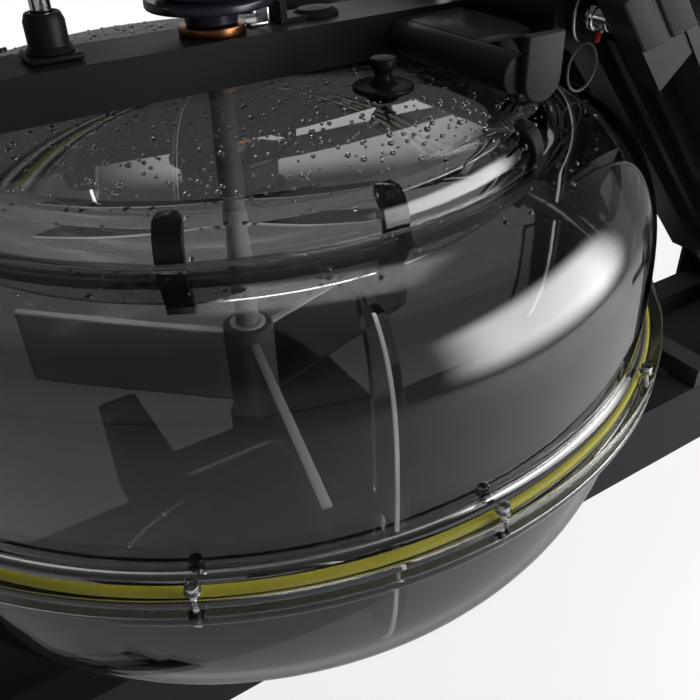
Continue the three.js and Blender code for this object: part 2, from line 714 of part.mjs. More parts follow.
function makeHandle() {
  const reach = handle.length * half;
  const bar = round("y", handle.radius, -reach, reach, handleZ, handleX, handle.sides);
  const gripStart = reach - handle.gripLength;
  const bore = handle.radius + fit;
  const lip = handle.gripRadius - bore;
  const side = [
    [bore, gripStart], [handle.gripRadius - lip * half, gripStart], [handle.gripRadius, gripStart + lip],
    [handle.gripRadius, reach], [handle.gripRadius - lip * half, reach + handle.gripEnd],
    [0, reach + handle.gripEnd], [0, reach + fit], [bore, reach + fit],
  ];
  const grip = closed(turned(side, handle.sides).rotateX(-Math.PI * half));
  addPair("grip", looks.rubber, moved(grip, handleX, 0, handleZ));
  const front = handleX - handle.radius - handle.clevisLength;
  const rise = handle.clevisHeight * half;
  const width = rest.earGap * half - rest.thick - fit * 3;
  const block = box(front, handleX, -width, width, handleZ - rise * half - fit, handleZ + rise * half);
  add("handle_bar", looks.black, join(bar, block));
}

// Tubes out from the beam with a rounded tongue at each end, and the gusset plates
function makeArms() {
  const start = beam.width * half + fit;
  const bar = round("y", arm.radius, start, tongue.start, arm.z, arm.x, arm.sides);
  const radius = tongue.width * half;
  const lobe = Array.from({ length: facets.arc + 1 }, (unused, i) => {
    const turn = (Math.PI * i) / facets.arc;
    return [tongue.bottom + radius - radius * Math.sin(turn), tongue.x + radius * Math.cos(turn)];
  });
  const tongueShape = [[tongue.top, tongue.x - radius], [tongue.top, tongue.x + radius], ...lobe];
  const plate = slab("y", tongueShape, tongue.start - fit, tongue.start + tongue.thick);
  const rearX = sleeveX - gusset.inset;
  const tipX = arm.x + (sleeveX - arm.x) * gussetTipShare;
  const braceShape = [[arm.x, start], [rearX, start], [tipX, gusset.tipY], [arm.x, gusset.tipY]];
  const brace = slab("z", braceShape, gusset.z, gusset.z + gusset.thick);
  const barrel = round("y", sleeve.radius, sleeve.start, sleeve.end, sleeve.z, sleeveX, sleeve.sides);
  const bore = round("y", pivot.radius + fit, 0, sleeve.end + overrun, sleeve.z, sleeveX);
  addPair("footrest_arm", looks.frame, cut(join(bar, plate, brace, barrel), bore));
}

// Pivot bolts through the sleeves
function makePivots() {
  const inner = sleeve.start - fit - pivot.collarThick;
  const pin = round("y", pivot.radius, inner, pivot.end, sleeve.z, sleeveX);
  const headPart = round("y", pivot.nut, inner, sleeve.start - fit, sleeve.z, sleeveX, facets.pin);
  const nutEnd = pivot.nutStart + pivot.nutThick;
  const nut = round("y", pivot.nut, pivot.nutStart, nutEnd, sleeve.z, sleeveX, facets.hex);
  addPair("pivot_bolt", looks.chrome, join(pin, headPart, nut));
}

// Footplates: written lying flat, with u from heel to toe and n up from the sole, then leaned back
const lean = Math.atan2(foot.toeRise, -foot.toeRun);

function leaned(geometry) {
  return moved(geometry.rotateY(-lean), heelX, 0, foot.heelZ);
}

// After the lean, a box from u0 to u1 along the plate and n0 to n1 above it
function onPlate(u0, u1, y0, y1, n0, n1) {
  return box(u0, u1, y0, y1, -n1, -n0);
}

function makeFootplates() {
  const sole = onPlate(0, foot.length, foot.inner, foot.outer, -foot.thick, 0);
  const ribs = footRibShares.map((share) => {
    const y = foot.inner + (foot.outer - foot.inner) * share;
    const side = foot.rib * half;
    const back = -foot.thick - foot.rib;
    return onPlate(foot.rib, footBracket.start, y - side, y + side, back, -foot.thick * half);
  });
  const end = footBracket.start + footBracket.length;
  const [back, deep] = [-foot.thick * half, -foot.thick - footBracket.depth];
  const channel = onPlate(footBracket.start, end, footBracket.inner, footBracket.outer, deep, back);
  const saddle = onPlate(footBracket.saddleStart, footBracket.saddleStart + footBracket.saddleLength,
    footBracket.saddleInner, footBracket.inner + footBracket.wall, deep * half, back);
  const barrel = round("y", sleeve.radius + fit, 0, sleeve.end + fit, sleeve.z, sleeveX, sleeve.sides);
  const nutRoom = round("y", pivot.nut + fit * 2, 0, footBracket.inner, sleeve.z, sleeveX, sleeve.sides);
  const hole = round("y", pivot.radius + fit, 0, footBracket.outer + overrun, sleeve.z, sleeveX);
  addPair("footplate", looks.black, cut(leaned(join(sole, ...ribs, channel, saddle)), barrel, nutRoom, hole));
}

// Heel cups that slide along the plates
function makeHeelCups() {
  const [y0, y1] = [foot.inner + heel.margin, foot.outer - heel.margin];
  const base = onPlate(heel.start, heel.start + heel.length, y0, y1, fit, fit + heel.base);
  const cup = onPlate(heel.start, heel.start + heel.length * half, y0, y1, fit, heel.height);
  const hollow = onPlate(heel.start + heel.wall, heel.start + heel.length, y0 + heel.wall, y1 - heel.wall,
    heel.base, heel.height + overrun);
  const one = leaned(join(base, cut(cup, hollow)));
  addPair("heel_cup", looks.black, one);
}

// Webbing over each foot: an arch with a lug at either side of the plate
function makeFootStraps() {
  const y0 = foot.inner + footStrap.insetY;
  const y1 = foot.outer - footStrap.insetY;
  const middle = (y0 + y1) * half;
  const arch = (inset) => Array.from({ length: facets.arc + 1 }, (unused, i) => {
    const turn = (Math.PI * i) / facets.arc;
    const across = ((y1 - y0) * half - inset) * Math.cos(turn);
    return [middle + across, -fit - (footStrap.rise - inset) * Math.sin(turn)];
  });
  const outline = [...arch(0), ...arch(footStrap.thick).reverse()];
  const band = slab("x", outline, footStrap.start, footStrap.start + footStrap.width);
  addPair("foot_strap", looks.webbing, leaned(band));
}

// Seat carriage on its rollers
const axleZ = rail.top + seat.rollerRadius + fit;
const carriageTop = rail.top + carriage.rise;
const sideInner = railOuter + carriage.sideGap;
const sideOuter = sideInner + carriage.side;
const axlePlaces = [-half, half].map((share) => seat.x + share * seat.axleSpread);

function makeCarriage() {
  const [x0, x1] = [seat.x - carriage.length * half, seat.x + carriage.length * half];
  const deck = box(x0, x1, -sideOuter, sideOuter, carriageTop, carriageTop + carriage.plate);
  const low = rail.top - carriage.skirtDrop;
  const sides = [-1, 1].map((s) => {
    const [a, b] = [s * sideInner, s * sideOuter];
    return box(x0, x1, Math.min(a, b), Math.max(a, b), low, carriageTop + carriage.plate);
  });
  const holes = axlePlaces.map((x) =>
    round("y", seat.axle + fit, -sideOuter - overrun, sideOuter + overrun, axleZ, x));
  add("seat_carriage", looks.frame, cut(join(deck, ...sides), ...holes));
}

function makeSeatRollers() {
  for (const [name, x] of [["front_rollers", axlePlaces[0]], ["rear_rollers", axlePlaces[1]]]) {
    const [y0, y1] = [rail.centreY - seat.rollerWidth * half, rail.centreY + seat.rollerWidth * half];
    const tread = round("y", seat.rollerRadius, y0, y1, axleZ, x, facets.ring);
    const end = sideOuter + fit;
    const bolt = round("y", seat.axleHead, end, end + seat.headThick, axleZ, x, facets.bolt);
    const axle = round("y", seat.axle, -end, end, axleZ, x);
    add(name, looks.black, join(axle, tread, mirrored(tread), bolt, mirrored(bolt)));
  }
}

function roundedRectangle(length, width, radius) {
  const shape = new THREE.Shape();
  const [x, y] = [length * half, width * half];
  shape.moveTo(-x + radius, -y);
  shape.lineTo(x - radius, -y);
  shape.absarc(x - radius, -y + radius, radius, -Math.PI * half, 0, false);
  shape.lineTo(x, y - radius);
  shape.absarc(x - radius, y - radius, radius, 0, Math.PI * half, false);
  shape.lineTo(-x + radius, y);
  shape.absarc(-x + radius, y - radius, radius, Math.PI * half, Math.PI, false);
  shape.lineTo(-x, -y + radius);
  shape.absarc(-x + radius, -y + radius, radius, Math.PI, Math.PI * (1 + half), false);
  return shape;
}

function makeSeat() {
  const low = carriageTop + carriage.plate + fit;
  const deckLow = low + pedestal.height;
  const deckTop = deckLow + pedestal.deckThick;
  const boxPart = tube("z", seat.x - pedestal.length * half, seat.x + pedestal.length * half,
    -pedestal.width * half, pedestal.width * half, pedestal.wall, low, deckLow + fit);
  const deckShape = roundedRectangle(pedestal.deckLength, pedestal.deckWidth, pad.deckRound);
  const deck = moved(slab("z", deckShape, deckLow, deckTop), seat.x, 0, 0);
  add("seat_pedestal", looks.black, join(boxPart, deck));
  const padLow = deckTop + fit;
  const cushion = slab("z", roundedRectangle(pad.length, pad.width, pad.round), padLow, padLow + pad.thick);
  add("seat_pad", looks.rubber, moved(cushion, seat.x, 0, 0));
}

function makeStops() {
  const low = rail.top + fit;
  for (const [name, x] of [["front_stop", frontStopX], ["rear_stop", rearStopX]]) {
    add(name, looks.rubber, box(x, x + stop.length, -railOuter, railOuter, low, low + stop.height));
  }
}

// Display: rod in its socket, knuckle, housing, screen and buttons
function makeRod() {
  const low = beam.top + fit;
  const socketTop = low + rod.socketHeight;
  const footPlate = box(rod.x - rod.footLength * half, rod.x + rod.footLength * half,
    -rod.footWidth * half, rod.footWidth * half, low, low + rod.footThick);
  const socket = join(footPlate, round("z", rod.socketRadius, low, socketTop, rod.x, 0, facets.ring));
  const bore = round("z", rod.radius + fit, low + rod.footThick, socketTop + overrun, rod.x, 0, facets.pin);
  add("rod_socket", looks.black, cut(socket, bore));
  const start = low + rod.footThick + fit;
  const eyeReach = knuckle.width * half;
  const eye = round("y", knuckle.radius, -eyeReach, eyeReach, rod.top, rod.x, facets.ring);
  const pinHole = round("y", knuckle.pinRadius + fit, -knuckle.width, knuckle.width, rod.top, rod.x);
  add("display_rod", looks.chrome, cut(join(round("z", rod.radius, start, rod.top, rod.x, 0), eye), pinHole));
}

function makeDisplay() {
  const tilted = new THREE.Group();
  tilted.position.set(rod.x, 0, rod.top);
  tilted.rotation.y = head.tilt * deg;
  machine.add(tilted);
  const low = knuckle.radius + fit * 2;
  const top = low + head.thick;
  const shape = roundedRectangle(head.depth, head.width, head.corner);
  const body = slab("z", shape, low, top);
  const inner = knuckle.width * half + fit * 2;
  const ears = [-1, 1].map((s) => {
    const [a, b] = [s * inner, s * (inner + knuckle.earThick)];
    const [y0, y1] = [Math.min(a, b), Math.max(a, b)];
    const eye = round("y", knuckle.radius, y0, y1, 0, 0, facets.ring);
    return join(eye, box(-knuckle.radius, knuckle.radius, y0, y1, 0, low + fit));
  });
  const pinReach = inner + knuckle.earThick;
  const pin = round("y", knuckle.pinRadius, -pinReach, pinReach, 0, 0);
  const screenBox = (inset, z0, z1) => {
    const [x, y] = [screen.depth * half - inset, screen.width * half - inset];
    return box(-screen.shift - x, -screen.shift + x, -y, y, z0, z1);
  };
  const recess = screenBox(0, top - screen.thick, top + overrun);
  const pockets = [-1, 1].map((i) =>
    round("z", button.radius + fit, top - button.pocket, top + overrun, -button.shift, i * button.pitch));
  add("display_housing", looks.black, cut(join(body, ...ears, pin), recess, ...pockets), tilted);
  add("display_screen", looks.glass, screenBox(fit, top - screen.thick + fit, top), tilted);
  const floorOfPocket = top - button.pocket + button.travel + fit;
  const faceOfButton = floorOfPocket + button.height;
  for (const [i, name] of [[-1, "left_button"], [1, "right_button"]]) {
    const cap = round("z", button.radius, floorOfPocket, faceOfButton, -button.shift, i * button.pitch);
    add(name, looks.rubber, cap, tilted);
  }
}

// Oval cap and guide finger on the beam
function makeBeamCap() {
  const low = beam.top + fit;
  const profile = [
    [0, low], [dome.width * half, low], [dome.width * half, low + dome.height * domeShares.rim],
    [dome.width * half * domeShares.shoulderRadius, low + dome.height * domeShares.shoulder],
    [0, low + dome.height],
  ];
  const cap = turned(profile, facets.ring);
  cap.scale(dome.length / dome.width, 1, 1);
  moved(cap, dome.x, 0, 0);
  const side = dome.fingerWidth * half;
  const finger = box(dome.fingerX - dome.fingerThick, dome.fingerX, -side, side, low, dome.fingerTop);
  const tie = box(dome.fingerX - dome.fingerThick, dome.x, -side, side, low, low + dome.height * half);
  add("beam_cap", looks.black, join(cap, finger, tie));
}

makeRails();
makeEndCaps();
makePosts();
makeBeam();
makeLegs();
makeFeet();
makeWheels();
makeShells();
makeSeal();
makeLid();
makeGasket();
makePlug();
makeCradle();
makeShaft();
makePaddle();
makeBush();
makeDrum();
makeStrap();
makeRoller();
makeRest();
makeHandle();
makeArms();
makePivots();
makeFootplates();
makeHeelCups();
makeFootStraps();
makeCarriage();
makeSeatRollers();
makeSeat();
makeStops();
makeRod();
makeDisplay();
makeBeamCap();

export default machine;
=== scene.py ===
import json
import random
from math import acos, asin, atan2, cos, dist, exp, hypot, pi, radians, sin, sqrt, tan, tau
from types import SimpleNamespace as Sizes

import bmesh
import bpy
from mathutils import Matrix, Vector

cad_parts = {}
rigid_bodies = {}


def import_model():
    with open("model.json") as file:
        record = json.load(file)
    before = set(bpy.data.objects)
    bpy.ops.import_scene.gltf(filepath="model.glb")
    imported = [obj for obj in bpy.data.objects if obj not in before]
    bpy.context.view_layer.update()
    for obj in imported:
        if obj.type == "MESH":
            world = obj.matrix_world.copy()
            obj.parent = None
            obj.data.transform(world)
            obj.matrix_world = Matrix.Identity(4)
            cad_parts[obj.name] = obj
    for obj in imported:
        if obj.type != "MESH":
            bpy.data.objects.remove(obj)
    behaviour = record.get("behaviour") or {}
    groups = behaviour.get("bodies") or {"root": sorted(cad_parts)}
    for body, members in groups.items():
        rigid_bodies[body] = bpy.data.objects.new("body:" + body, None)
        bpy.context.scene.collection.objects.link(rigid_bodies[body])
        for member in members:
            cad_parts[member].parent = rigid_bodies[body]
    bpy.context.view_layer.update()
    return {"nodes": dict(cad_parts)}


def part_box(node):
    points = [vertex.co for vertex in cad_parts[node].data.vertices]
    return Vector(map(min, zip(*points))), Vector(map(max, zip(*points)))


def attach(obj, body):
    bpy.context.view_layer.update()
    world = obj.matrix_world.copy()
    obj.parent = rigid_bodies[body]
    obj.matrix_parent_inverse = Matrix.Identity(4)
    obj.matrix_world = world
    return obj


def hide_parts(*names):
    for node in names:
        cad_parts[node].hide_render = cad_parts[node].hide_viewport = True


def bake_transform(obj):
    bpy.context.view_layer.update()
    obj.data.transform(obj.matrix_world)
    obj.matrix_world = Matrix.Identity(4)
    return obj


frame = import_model()
nodes = frame["nodes"]
scene = bpy.context.scene

MM = 0.001
AXIS = Vector((-640, 0, 480))
SIDES = (("right", 1), ("left", -1))
GAP = 0.3

SHELL = Sizes(radius=248, wall=4, bolt_radius=255, flange_radius=260, flange_thick=5, bolts=12,
              fillet=5.5, steps=180)
CROWN = Sizes(wall_radius=248, flat_radius=150, base=8, rise=108, boxiness=4)
BOWL = Sizes(wall_radius=248, flat_radius=130, base=-8, rise=119, boxiness=2.9, cup=20)
MOUTH = Sizes(radius=177, step_radius=188, ledge=108)
SEAL = Sizes(radius=249.5, thick=4.6)
BOLT = Sizes(shank=1.6, tip=5.4, washer=3.6, washer_thick=0.7, head=2.9, head_height=3.2, socket=1.7,
             socket_depth=2.6, socket_limit=2.2, nut=2.7, nut_height=2.7)
LID = Sizes(top=130, crease_radius=166, rim_radius=183.4, rim_z=110.8, shoulder=112.5, wall=3.6,
            bore=14.7, plug_hole=9.3, fall=0.8)
SKIRT = Sizes(outer=175.6, wall=3.6, bottom=88)
GASKET = Sizes(inner=180.5, outer=183, thick=2)
CLIP = Sizes(count=6, first_angle=-120.7, width=12, thick=3.8, lug_angle=-92.3)
FIN = Sizes(first_angle=-100, inner=196, thick=5, top=101, bottom=-86, depth=26, edge=1.4, sink=1.6,
            count=4)
BEAD = Sizes(count=1700, reach=210, crowding=0.43, least=0.7, spread=1.15, hub_room=24, rim_start=180,
             rim_room=3, plug_room=20)
SHAFT = Sizes(radius=8, bottom=-119)
PADDLE = Sizes(hub_radius=17, hub_top=-30, hub_bottom=-104, top=-38, bottom=-98, reach=175, thick=4.6,
               lip=6, edge=2, count=3, first_angle=137)
PLUG = Sizes(x=63, y=-72)
BEAM = Sizes(top=155.6, half_width=22)
DRUM = Sizes(flange=34.5, low=170, thick=5, gap=27, coil=30, core=23, neck=14.5, bore=8.3, turns=4,
             turn_steps=72)
STRAP = Sizes(width=20, thick=1.8, height=188, flat_from=60, roller_x=300, end_x=351)
GUIDE = Sizes(drop=15.3, radius=14, lip=2.5, side=16.5, axle=4, axle_end=18.6)
ARM = Sizes(x=110, z=141.5, radius=10)
GUSSET = Sizes(long=166, short=150, reach=88, low=148, high=152)
TONGUE = Sizes(x=122, width=25, top=161, bottom=126.5, y=125, thick=5)
SLEEVE = Sizes(x=175, z=158, radius=20, start=26, end=100, cap=12, bore=6.3, collar=3, collar_width=5)
ROD = Sizes(x=-87, radius=5, low=160.2, top=330, socket_radius=10, socket_top=177.9, foot_length=13.5,
            foot_width=12, foot_thick=3.4, bore=5.3, eye=10, eye_bore=3.3)
HANDLE = Sizes(x=385, z=188, bar=11, bar_end=220, grip=16, grip_start=80, end=224, ribs=26, groove=0.7,
               sleeve=14, bore=11.3)
SEAT = Sizes(x=722, roller=19.7, rail_y=64, roller_width=24, spread=180, axle_z=-200, boss=8, axle=5,
             axle_end=90.3, axle_head=4)
PAD = Sizes(scale=(0.965, 0.972, 0.8), voxel=0.006, frames=20, pressure=4, cap=0.008, hollow=0.006,
            hollow_x=-0.1, hollow_y=0.42, hollow_length=0.35, hollow_width=0.06, groove=0.004,
            groove_width=0.004, seam_height=0.013, seam_width=0.000006, seam_pull=0.02)
WHEEL = Sizes(x=-338, y=210, z=-448, hub=12, axle=4, axle_reach=226)
FOOT = Sizes(heel_x=412, heel_z=-74, run=0.645, rise=0.764, inner=30, outer=142, strap_at=215,
             strap_rise=78, strap_width=38, strap_thick=2.6, strap_inset=5, cover_low=316,
             cover_top=351, cover_back=-36, cover_depth=36, cover_inner=123, half=14, groove=5,
             slant=0.53)
HEAD = Sizes(x=-87, z=330, tilt=50, low=10.6, thick=26, screen_width=104, screen_depth=52,
             screen_shift=14, button_x=34, button_y=32, knob_y=13.7, screw_x=44, screw_y=64)

CAMERA = Sizes(spot=(-0.8160, -0.4256, 0.7382), heading=0.5421, pitch=0.6071, roll=-0.0335, lens=40.83)
FLOOR = Sizes(half=30.0, colour=0.88, colour_in_gloss=0.5, near_white=0.72, fade_from=1.1, fade_to=2.4)
BACKDROP = Sizes(white_to=0.1, dim_from=0.55, overhead=0.22, on_matt=0.3, gloss_loss=0.72)


def placed(x, y, z):
    return (Vector((x, y, z)) + AXIS) * MM


# Mesh making

def mesh_of(name, verts, faces):
    """Mesh from points in millimetres on the machine, merged and facing outward."""
    mesh = bpy.data.meshes.new(name)
    mesh.from_pydata([placed(*point) for point in verts], [], faces)
    work = bmesh.new()
    work.from_mesh(mesh)
    bmesh.ops.remove_doubles(work, verts=work.verts, dist=1e-6)
    bmesh.ops.recalc_face_normals(work, faces=work.faces)
    work.to_mesh(mesh)
    work.free()
    return mesh


def add_piece(name, mesh, finish, body="frame", stands_for=None, sharp=35):
    """A piece of one mesh or several, in its finish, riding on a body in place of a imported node."""
    look, slot = finishes[finish]
    if isinstance(mesh, (list, tuple)):
        mesh = joined(name, *mesh)
    piece = bpy.data.objects.new(name, mesh)
    scene.collection.objects.link(piece)
    mesh.materials.clear()
    mesh.materials.append(look)
    for polygon in mesh.polygons:
        polygon.use_smooth = True
    mesh.set_sharp_from_angle(angle=radians(sharp))
    if body:
        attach(piece, body)
    if stands_for:
        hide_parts(stands_for)
    return piece


def softened(points, radius, steps=3, closed=True):
    """The outline with each of its sharp corners rounded."""
    outline = [Vector(point) for point in points]
    slight = radians(28)
    result = []
    for i, corner in enumerate(outline):
        before = outline[i - 1] - corner
        after = outline[(i + 1) % len(outline)] - corner
        at_end = not closed and i in (0, len(outline) - 1)
        if at_end or before.length == 0 or after.length == 0 or pi - before.angle(after) < slight:
            result.append(corner)
            continue
        turn = pi - before.angle(after)
        reach = min(radius * tan(turn / 2), before.length * 0.45, after.length * 0.45)
        start, end = corner + before.normalized() * reach, corner + after.normalized() * reach
        for k in range(steps + 1):
            t = k / steps
            result.append(start * (1 - t) ** 2 + corner * 2 * t * (1 - t) + end * t * t)
    return [tuple(point) for point in result]


def turned(name, profile, steps=96, corner=0, arc=3, shape=None, centre=(0, 0, 0), along="z"):
    """Mesh turned from (radius, height) points, its corners rounded. Off the axis it closes on itself."""
    hollow = profile[0][0] > 0 or profile[-1][0] > 0
    if corner:
        profile = softened(profile, corner, arc, closed=hollow)
    rows = len(profile)
    verts = []
    for i in range(steps):
        angle = i * tau / steps
        for radius, height in profile:
            r = shape(radius, height, angle) if shape else radius
            u, v = r * cos(angle), r * sin(angle)
            point = {"x": (height, u, v), "y": (v, height, u), "z": (u, v, height)}[along]
            verts.append(tuple(a + b for a, b in zip(point, centre)))
    faces = []
    for i in range(steps):
        j = (i + 1) % steps
        for k in range(rows if hollow else rows - 1):
            n = (k + 1) % rows
            faces.append((i * rows + k, j * rows + k, j * rows + n, i * rows + n))
    return mesh_of(name, verts, faces)


def turn_piece(name, profile, steps, corner, arc, finish, body="frame", stands_for=None, **how):
    """A piece of one turned mesh."""
    return add_piece(name, turned(name, profile, steps, corner, arc, **how), finish, body, stands_for)


def hexagonal(low=0.0, high=1000.0, share=1.0):
    """Shape for turned() that gives radii between low and high six flats."""
    def shape(radius, height, angle):
        if not low <= radius <= high:
            return radius
        return radius * share / cos((angle + pi / 6) % (pi / 3) - pi / 6)
    return shape


def swept(name, sections, closed=False):
    """Mesh through equal cross-sections, capped at both ends unless it closes on itself."""
    sides = len(sections[0])
    verts = [point for section in sections for point in section]
    faces = []
    for i in range(len(sections) if closed else len(sections) - 1):
        j = (i + 1) % len(sections)
        for k in range(sides):
            n = (k + 1) % sides
            faces.append((i * sides + k, i * sides + n, j * sides + n, j * sides + k))
    if not closed:
        faces.append(tuple(range(sides)))
        faces.append(tuple((len(sections) - 1) * sides + k for k in range(sides)))
    return mesh_of(name, verts, faces)


def strap_section(centre, out, across, width=STRAP.width, thick=STRAP.thick):
    """Rounded-edge section of webbing at a point, thick along out and wide along across."""
    shares = ((-0.5, -0.3), (-0.47, -0.5), (0.47, -0.5), (0.5, -0.3),
              (0.5, 0.3), (0.47, 0.5), (-0.47, 0.5), (-0.5, 0.3))
    middle, thickness, breadth = Vector(centre), Vector(out) * thick, Vector(across) * width
    return [tuple(middle + breadth * a + thickness * b) for a, b in shares]


def oblong(u0, u1, v0, v1):
    """Corners of an oblong outline, or the profile of a ring or rod."""
    return [(u0, v0), (u1, v0), (u1, v1), (u0, v1)]


def plate(name, outline, low, high, axis="z"):
    """Mesh of a flat outline with a thickness along an axis; outlines are (y, z), (z, x) or (x, y)."""
    def spot(u, v, w):
        return {"x": (w, u, v), "y": (v, w, u), "z": (u, v, w)}[axis]
    return swept(name, [[spot(u, v, w) for u, v in outline] for w in (low, high)])


def rim_rounded(mesh, width, steps=2, angle=40):
    """The mesh with its sharp edges rounded by width, in millimetres."""
    work = bmesh.new()
    work.from_mesh(mesh)
    bmesh.ops.dissolve_limit(work, angle_limit=radians(1), verts=work.verts, edges=work.edges)
    sharp = [edge for edge in work.edges
             if len(edge.link_faces) == 2 and edge.calc_face_angle(0) > radians(angle)]
    bmesh.ops.bevel(work, geom=sharp, offset=width * MM, segments=steps, profile=0.5, affect="EDGES",
                    clamp_overlap=True)
    work.to_mesh(mesh)
    work.free()
    return mesh


def block(name, low, high, edge=1.0, steps=2):
    """Box between two corners with rounded edges."""
    (x0, y0, z0), (x1, y1, z1) = low, high
    return rim_rounded(plate(name, oblong(x0, x1, y0, y1), z0, z1), edge, steps)


def joined(name, *meshes):
    """One mesh holding all of these."""
    work = bmesh.new()
    for mesh in meshes:
        work.from_mesh(mesh)
    result = bpy.data.meshes.new(name)
    work.to_mesh(result)
    work.free()
    return result


def cut_by(mesh, *cutters):
    """The mesh with the cutters taken out of it."""
    body = bpy.data.objects.new("being_cut", mesh)
    tool = bpy.data.objects.new("cutter", joined("cutter", *cutters))
    for item in (body, tool):
        scene.collection.objects.link(item)
    cut = body.modifiers.new("cut", "BOOLEAN")
    cut.operation = "DIFFERENCE"
    cut.solver = "EXACT"
    cut.use_self = True
    cut.object = tool
    bpy.context.view_layer.update()
    shape = body.evaluated_get(bpy.context.evaluated_depsgraph_get())
    result = bpy.data.meshes.new_from_object(shape)
    for item in (body, tool):
        bpy.data.objects.remove(item)
    return result


def rounded_node(node, width, finish, body="frame", steps=2, angle=40):
    """A finished copy of a node's solid, with rounded edges, in the node's place."""
    mesh = rim_rounded(nodes[node].data.copy(), width, steps, angle)
    return add_piece(node + "_finished", mesh, finish, body, node)


def mirror(mesh, sign):
    """The mesh on the side of the machine that sign gives."""
    if sign < 0:
        mesh.transform(Matrix.Scale(-1, 4, Vector((0, 1, 0))))
        mesh.flip_normals()
    return mesh


def spin_about_tank(mesh, degrees):
    centre = placed(0, 0, 0)
    mesh.transform(Matrix.Translation(centre) @ Matrix.Rotation(radians(degrees), 4, "Z")
                   @ Matrix.Translation(-centre))
    return mesh


# Shader building

def feed(tree, value, socket):
    """Sets a socket to a number or colour, or wires it to another node's output."""
    if isinstance(value, bpy.types.NodeSocket):
        tree.links.new(value, socket)
    else:
        socket.default_value = (*value, 1) if isinstance(value, tuple) else value


def put(tree, kind, **values):
    """A shader node with its settings, and with numbers or wires in its inputs."""
    node = tree.nodes.new(kind)
    for label, value in values.items():
        if hasattr(node, label):
            setattr(node, label, value)
        else:
            feed(tree, value, node.inputs[label.replace("_", " ").title()])
    return node


def scalar(tree, operation, *values):
    node = put(tree, "ShaderNodeMath", operation=operation)
    for socket, value in zip(node.inputs, values):
        feed(tree, value, socket)
    return node.outputs[0]


def product(tree, *values):
    result = values[0]
    for value in values[1:]:
        result = scalar(tree, "MULTIPLY", result, value)
    return result


def ramp(tree, value, start, end, low=0.0, high=1.0, smooth=False):
    """Goes from low to high while the value goes from start to end."""
    kind = "SMOOTHSTEP" if smooth else "LINEAR"
    node = put(tree, "ShaderNodeMapRange", interpolation_type=kind, value=value, from_min=start,
               from_max=end, to_min=low, to_max=high)
    return node.outputs["Result"]


def blended(tree, mask, first, second):
    """Colour that goes from first to second with the mask."""
    mix = put(tree, "ShaderNodeMix", data_type="RGBA", factor=mask)
    feed(tree, first, mix.inputs[6])
    feed(tree, second, mix.inputs[7])
    return mix.outputs[2]


def mixed(tree, share, first, second):
    """Gives the material a shader that goes from first to second with the share."""
    mix = tree.nodes.new("ShaderNodeMixShader")
    for value, socket in zip((share, first, second), mix.inputs):
        feed(tree, value, socket)
    feed(tree, mix.outputs[0], tree.nodes["Material Output"].inputs["Surface"])


def place_on(tree, label="Object"):
    return put(tree, "ShaderNodeTexCoord").outputs[label]


def effect(name, inputs, outputs):
    """A shader node group with number inputs; returns its tree and its two end nodes."""
    tree = bpy.data.node_groups.new(name, "ShaderNodeTree")
    for label, value in inputs.items():
        socket = tree.interface.new_socket(label, in_out="INPUT", socket_type="NodeSocketFloat")
        socket.default_value = value
    for label in outputs:
        tree.interface.new_socket(label, in_out="OUTPUT", socket_type="NodeSocketFloat")
    return tree, tree.nodes.new("NodeGroupInput").outputs, tree.nodes.new("NodeGroupOutput").inputs


def make_grain():
    """Fine moulded or sprayed grain, and slow patches across the whole piece."""
    inputs = {"Per Metre": 1500.0, "Patch": 9.0}
    tree, given, result = effect("surface grain", inputs, ["Height", "Patches"])
    where = place_on(tree)
    fine = put(tree, "ShaderNodeTexNoise", vector=where, scale=given["Per Metre"], detail=3.0)
    slow = put(tree, "ShaderNodeTexNoise", vector=where, scale=given["Patch"], detail=4.0)
    feed(tree, fine.outputs["Fac"], result["Height"])
    feed(tree, slow.outputs["Fac"], result["Patches"])
    return tree


def make_wear():
    """Rubbed edges: more on corners that stand out, broken up by noise."""
    tree, given, result = effect("rubbed edges", {"Amount": 0.5}, ["Mask"])
    edge = ramp(tree, put(tree, "ShaderNodeNewGeometry").outputs["Pointiness"], 0.53, 0.62)
    noise = put(tree, "ShaderNodeTexNoise", vector=place_on(tree), scale=160.0, detail=5.0)
    feed(tree, product(tree, edge, noise.outputs["Fac"], given["Amount"]), result["Mask"])
    return tree


def make_weave():
    """Webbing woven along its length, from a UV map in metres, with painted shade in the valleys between
    its ribs.
    """
    tree, given, result = effect("webbing weave", {"Ribs": 900.0}, ["Height", "Painted Shade"])
    parts = put(tree, "ShaderNodeSeparateXYZ", vector=put(tree, "ShaderNodeUVMap").outputs["UV"])
    along = product(tree, parts.outputs["X"], given["Ribs"])
    across = product(tree, parts.outputs["Y"], given["Ribs"])
    rib = scalar(tree, "SINE", scalar(tree, "ADD", along, across))
    thread = scalar(tree, "SINE", product(tree, across, 2.0))
    feed(tree, scalar(tree, "ADD", rib, product(tree, thread, 0.5)), result["Height"])
    # Painted shade: lower where the ribs dip, which darkens the webbing there
    feed(tree, scalar(tree, "MULTIPLY_ADD", rib, 0.25), result["Painted Shade"])
    return tree


def make_rim():
    """Mask for the tank's bands of painted light and shade: 1 beyond a radius from the tank's axis, between
    two heights above the floor, and 0 elsewhere.
    """
    tree, given, result = effect("painted light and shade band", {"Radius": 0.25, "Low": 0.0, "High": 1.0}, ["Mask"])
    parts = put(tree, "ShaderNodeSeparateXYZ", vector=place_on(tree)).outputs
    along = scalar(tree, "SUBTRACT", parts["X"], AXIS.x * MM)
    square = scalar(tree, "ADD", product(tree, along, along), product(tree, parts["Y"], parts["Y"]))
    outside = scalar(tree, "GREATER_THAN", scalar(tree, "SQRT", square), given["Radius"])
    above = scalar(tree, "GREATER_THAN", parts["Z"], given["Low"])
    below = scalar(tree, "LESS_THAN", parts["Z"], given["High"])
    feed(tree, product(tree, outside, above, below), result["Mask"])
    return tree


GRAIN = make_grain()
WEAR = make_wear()
WEAVE = make_weave()
RIM = make_rim()


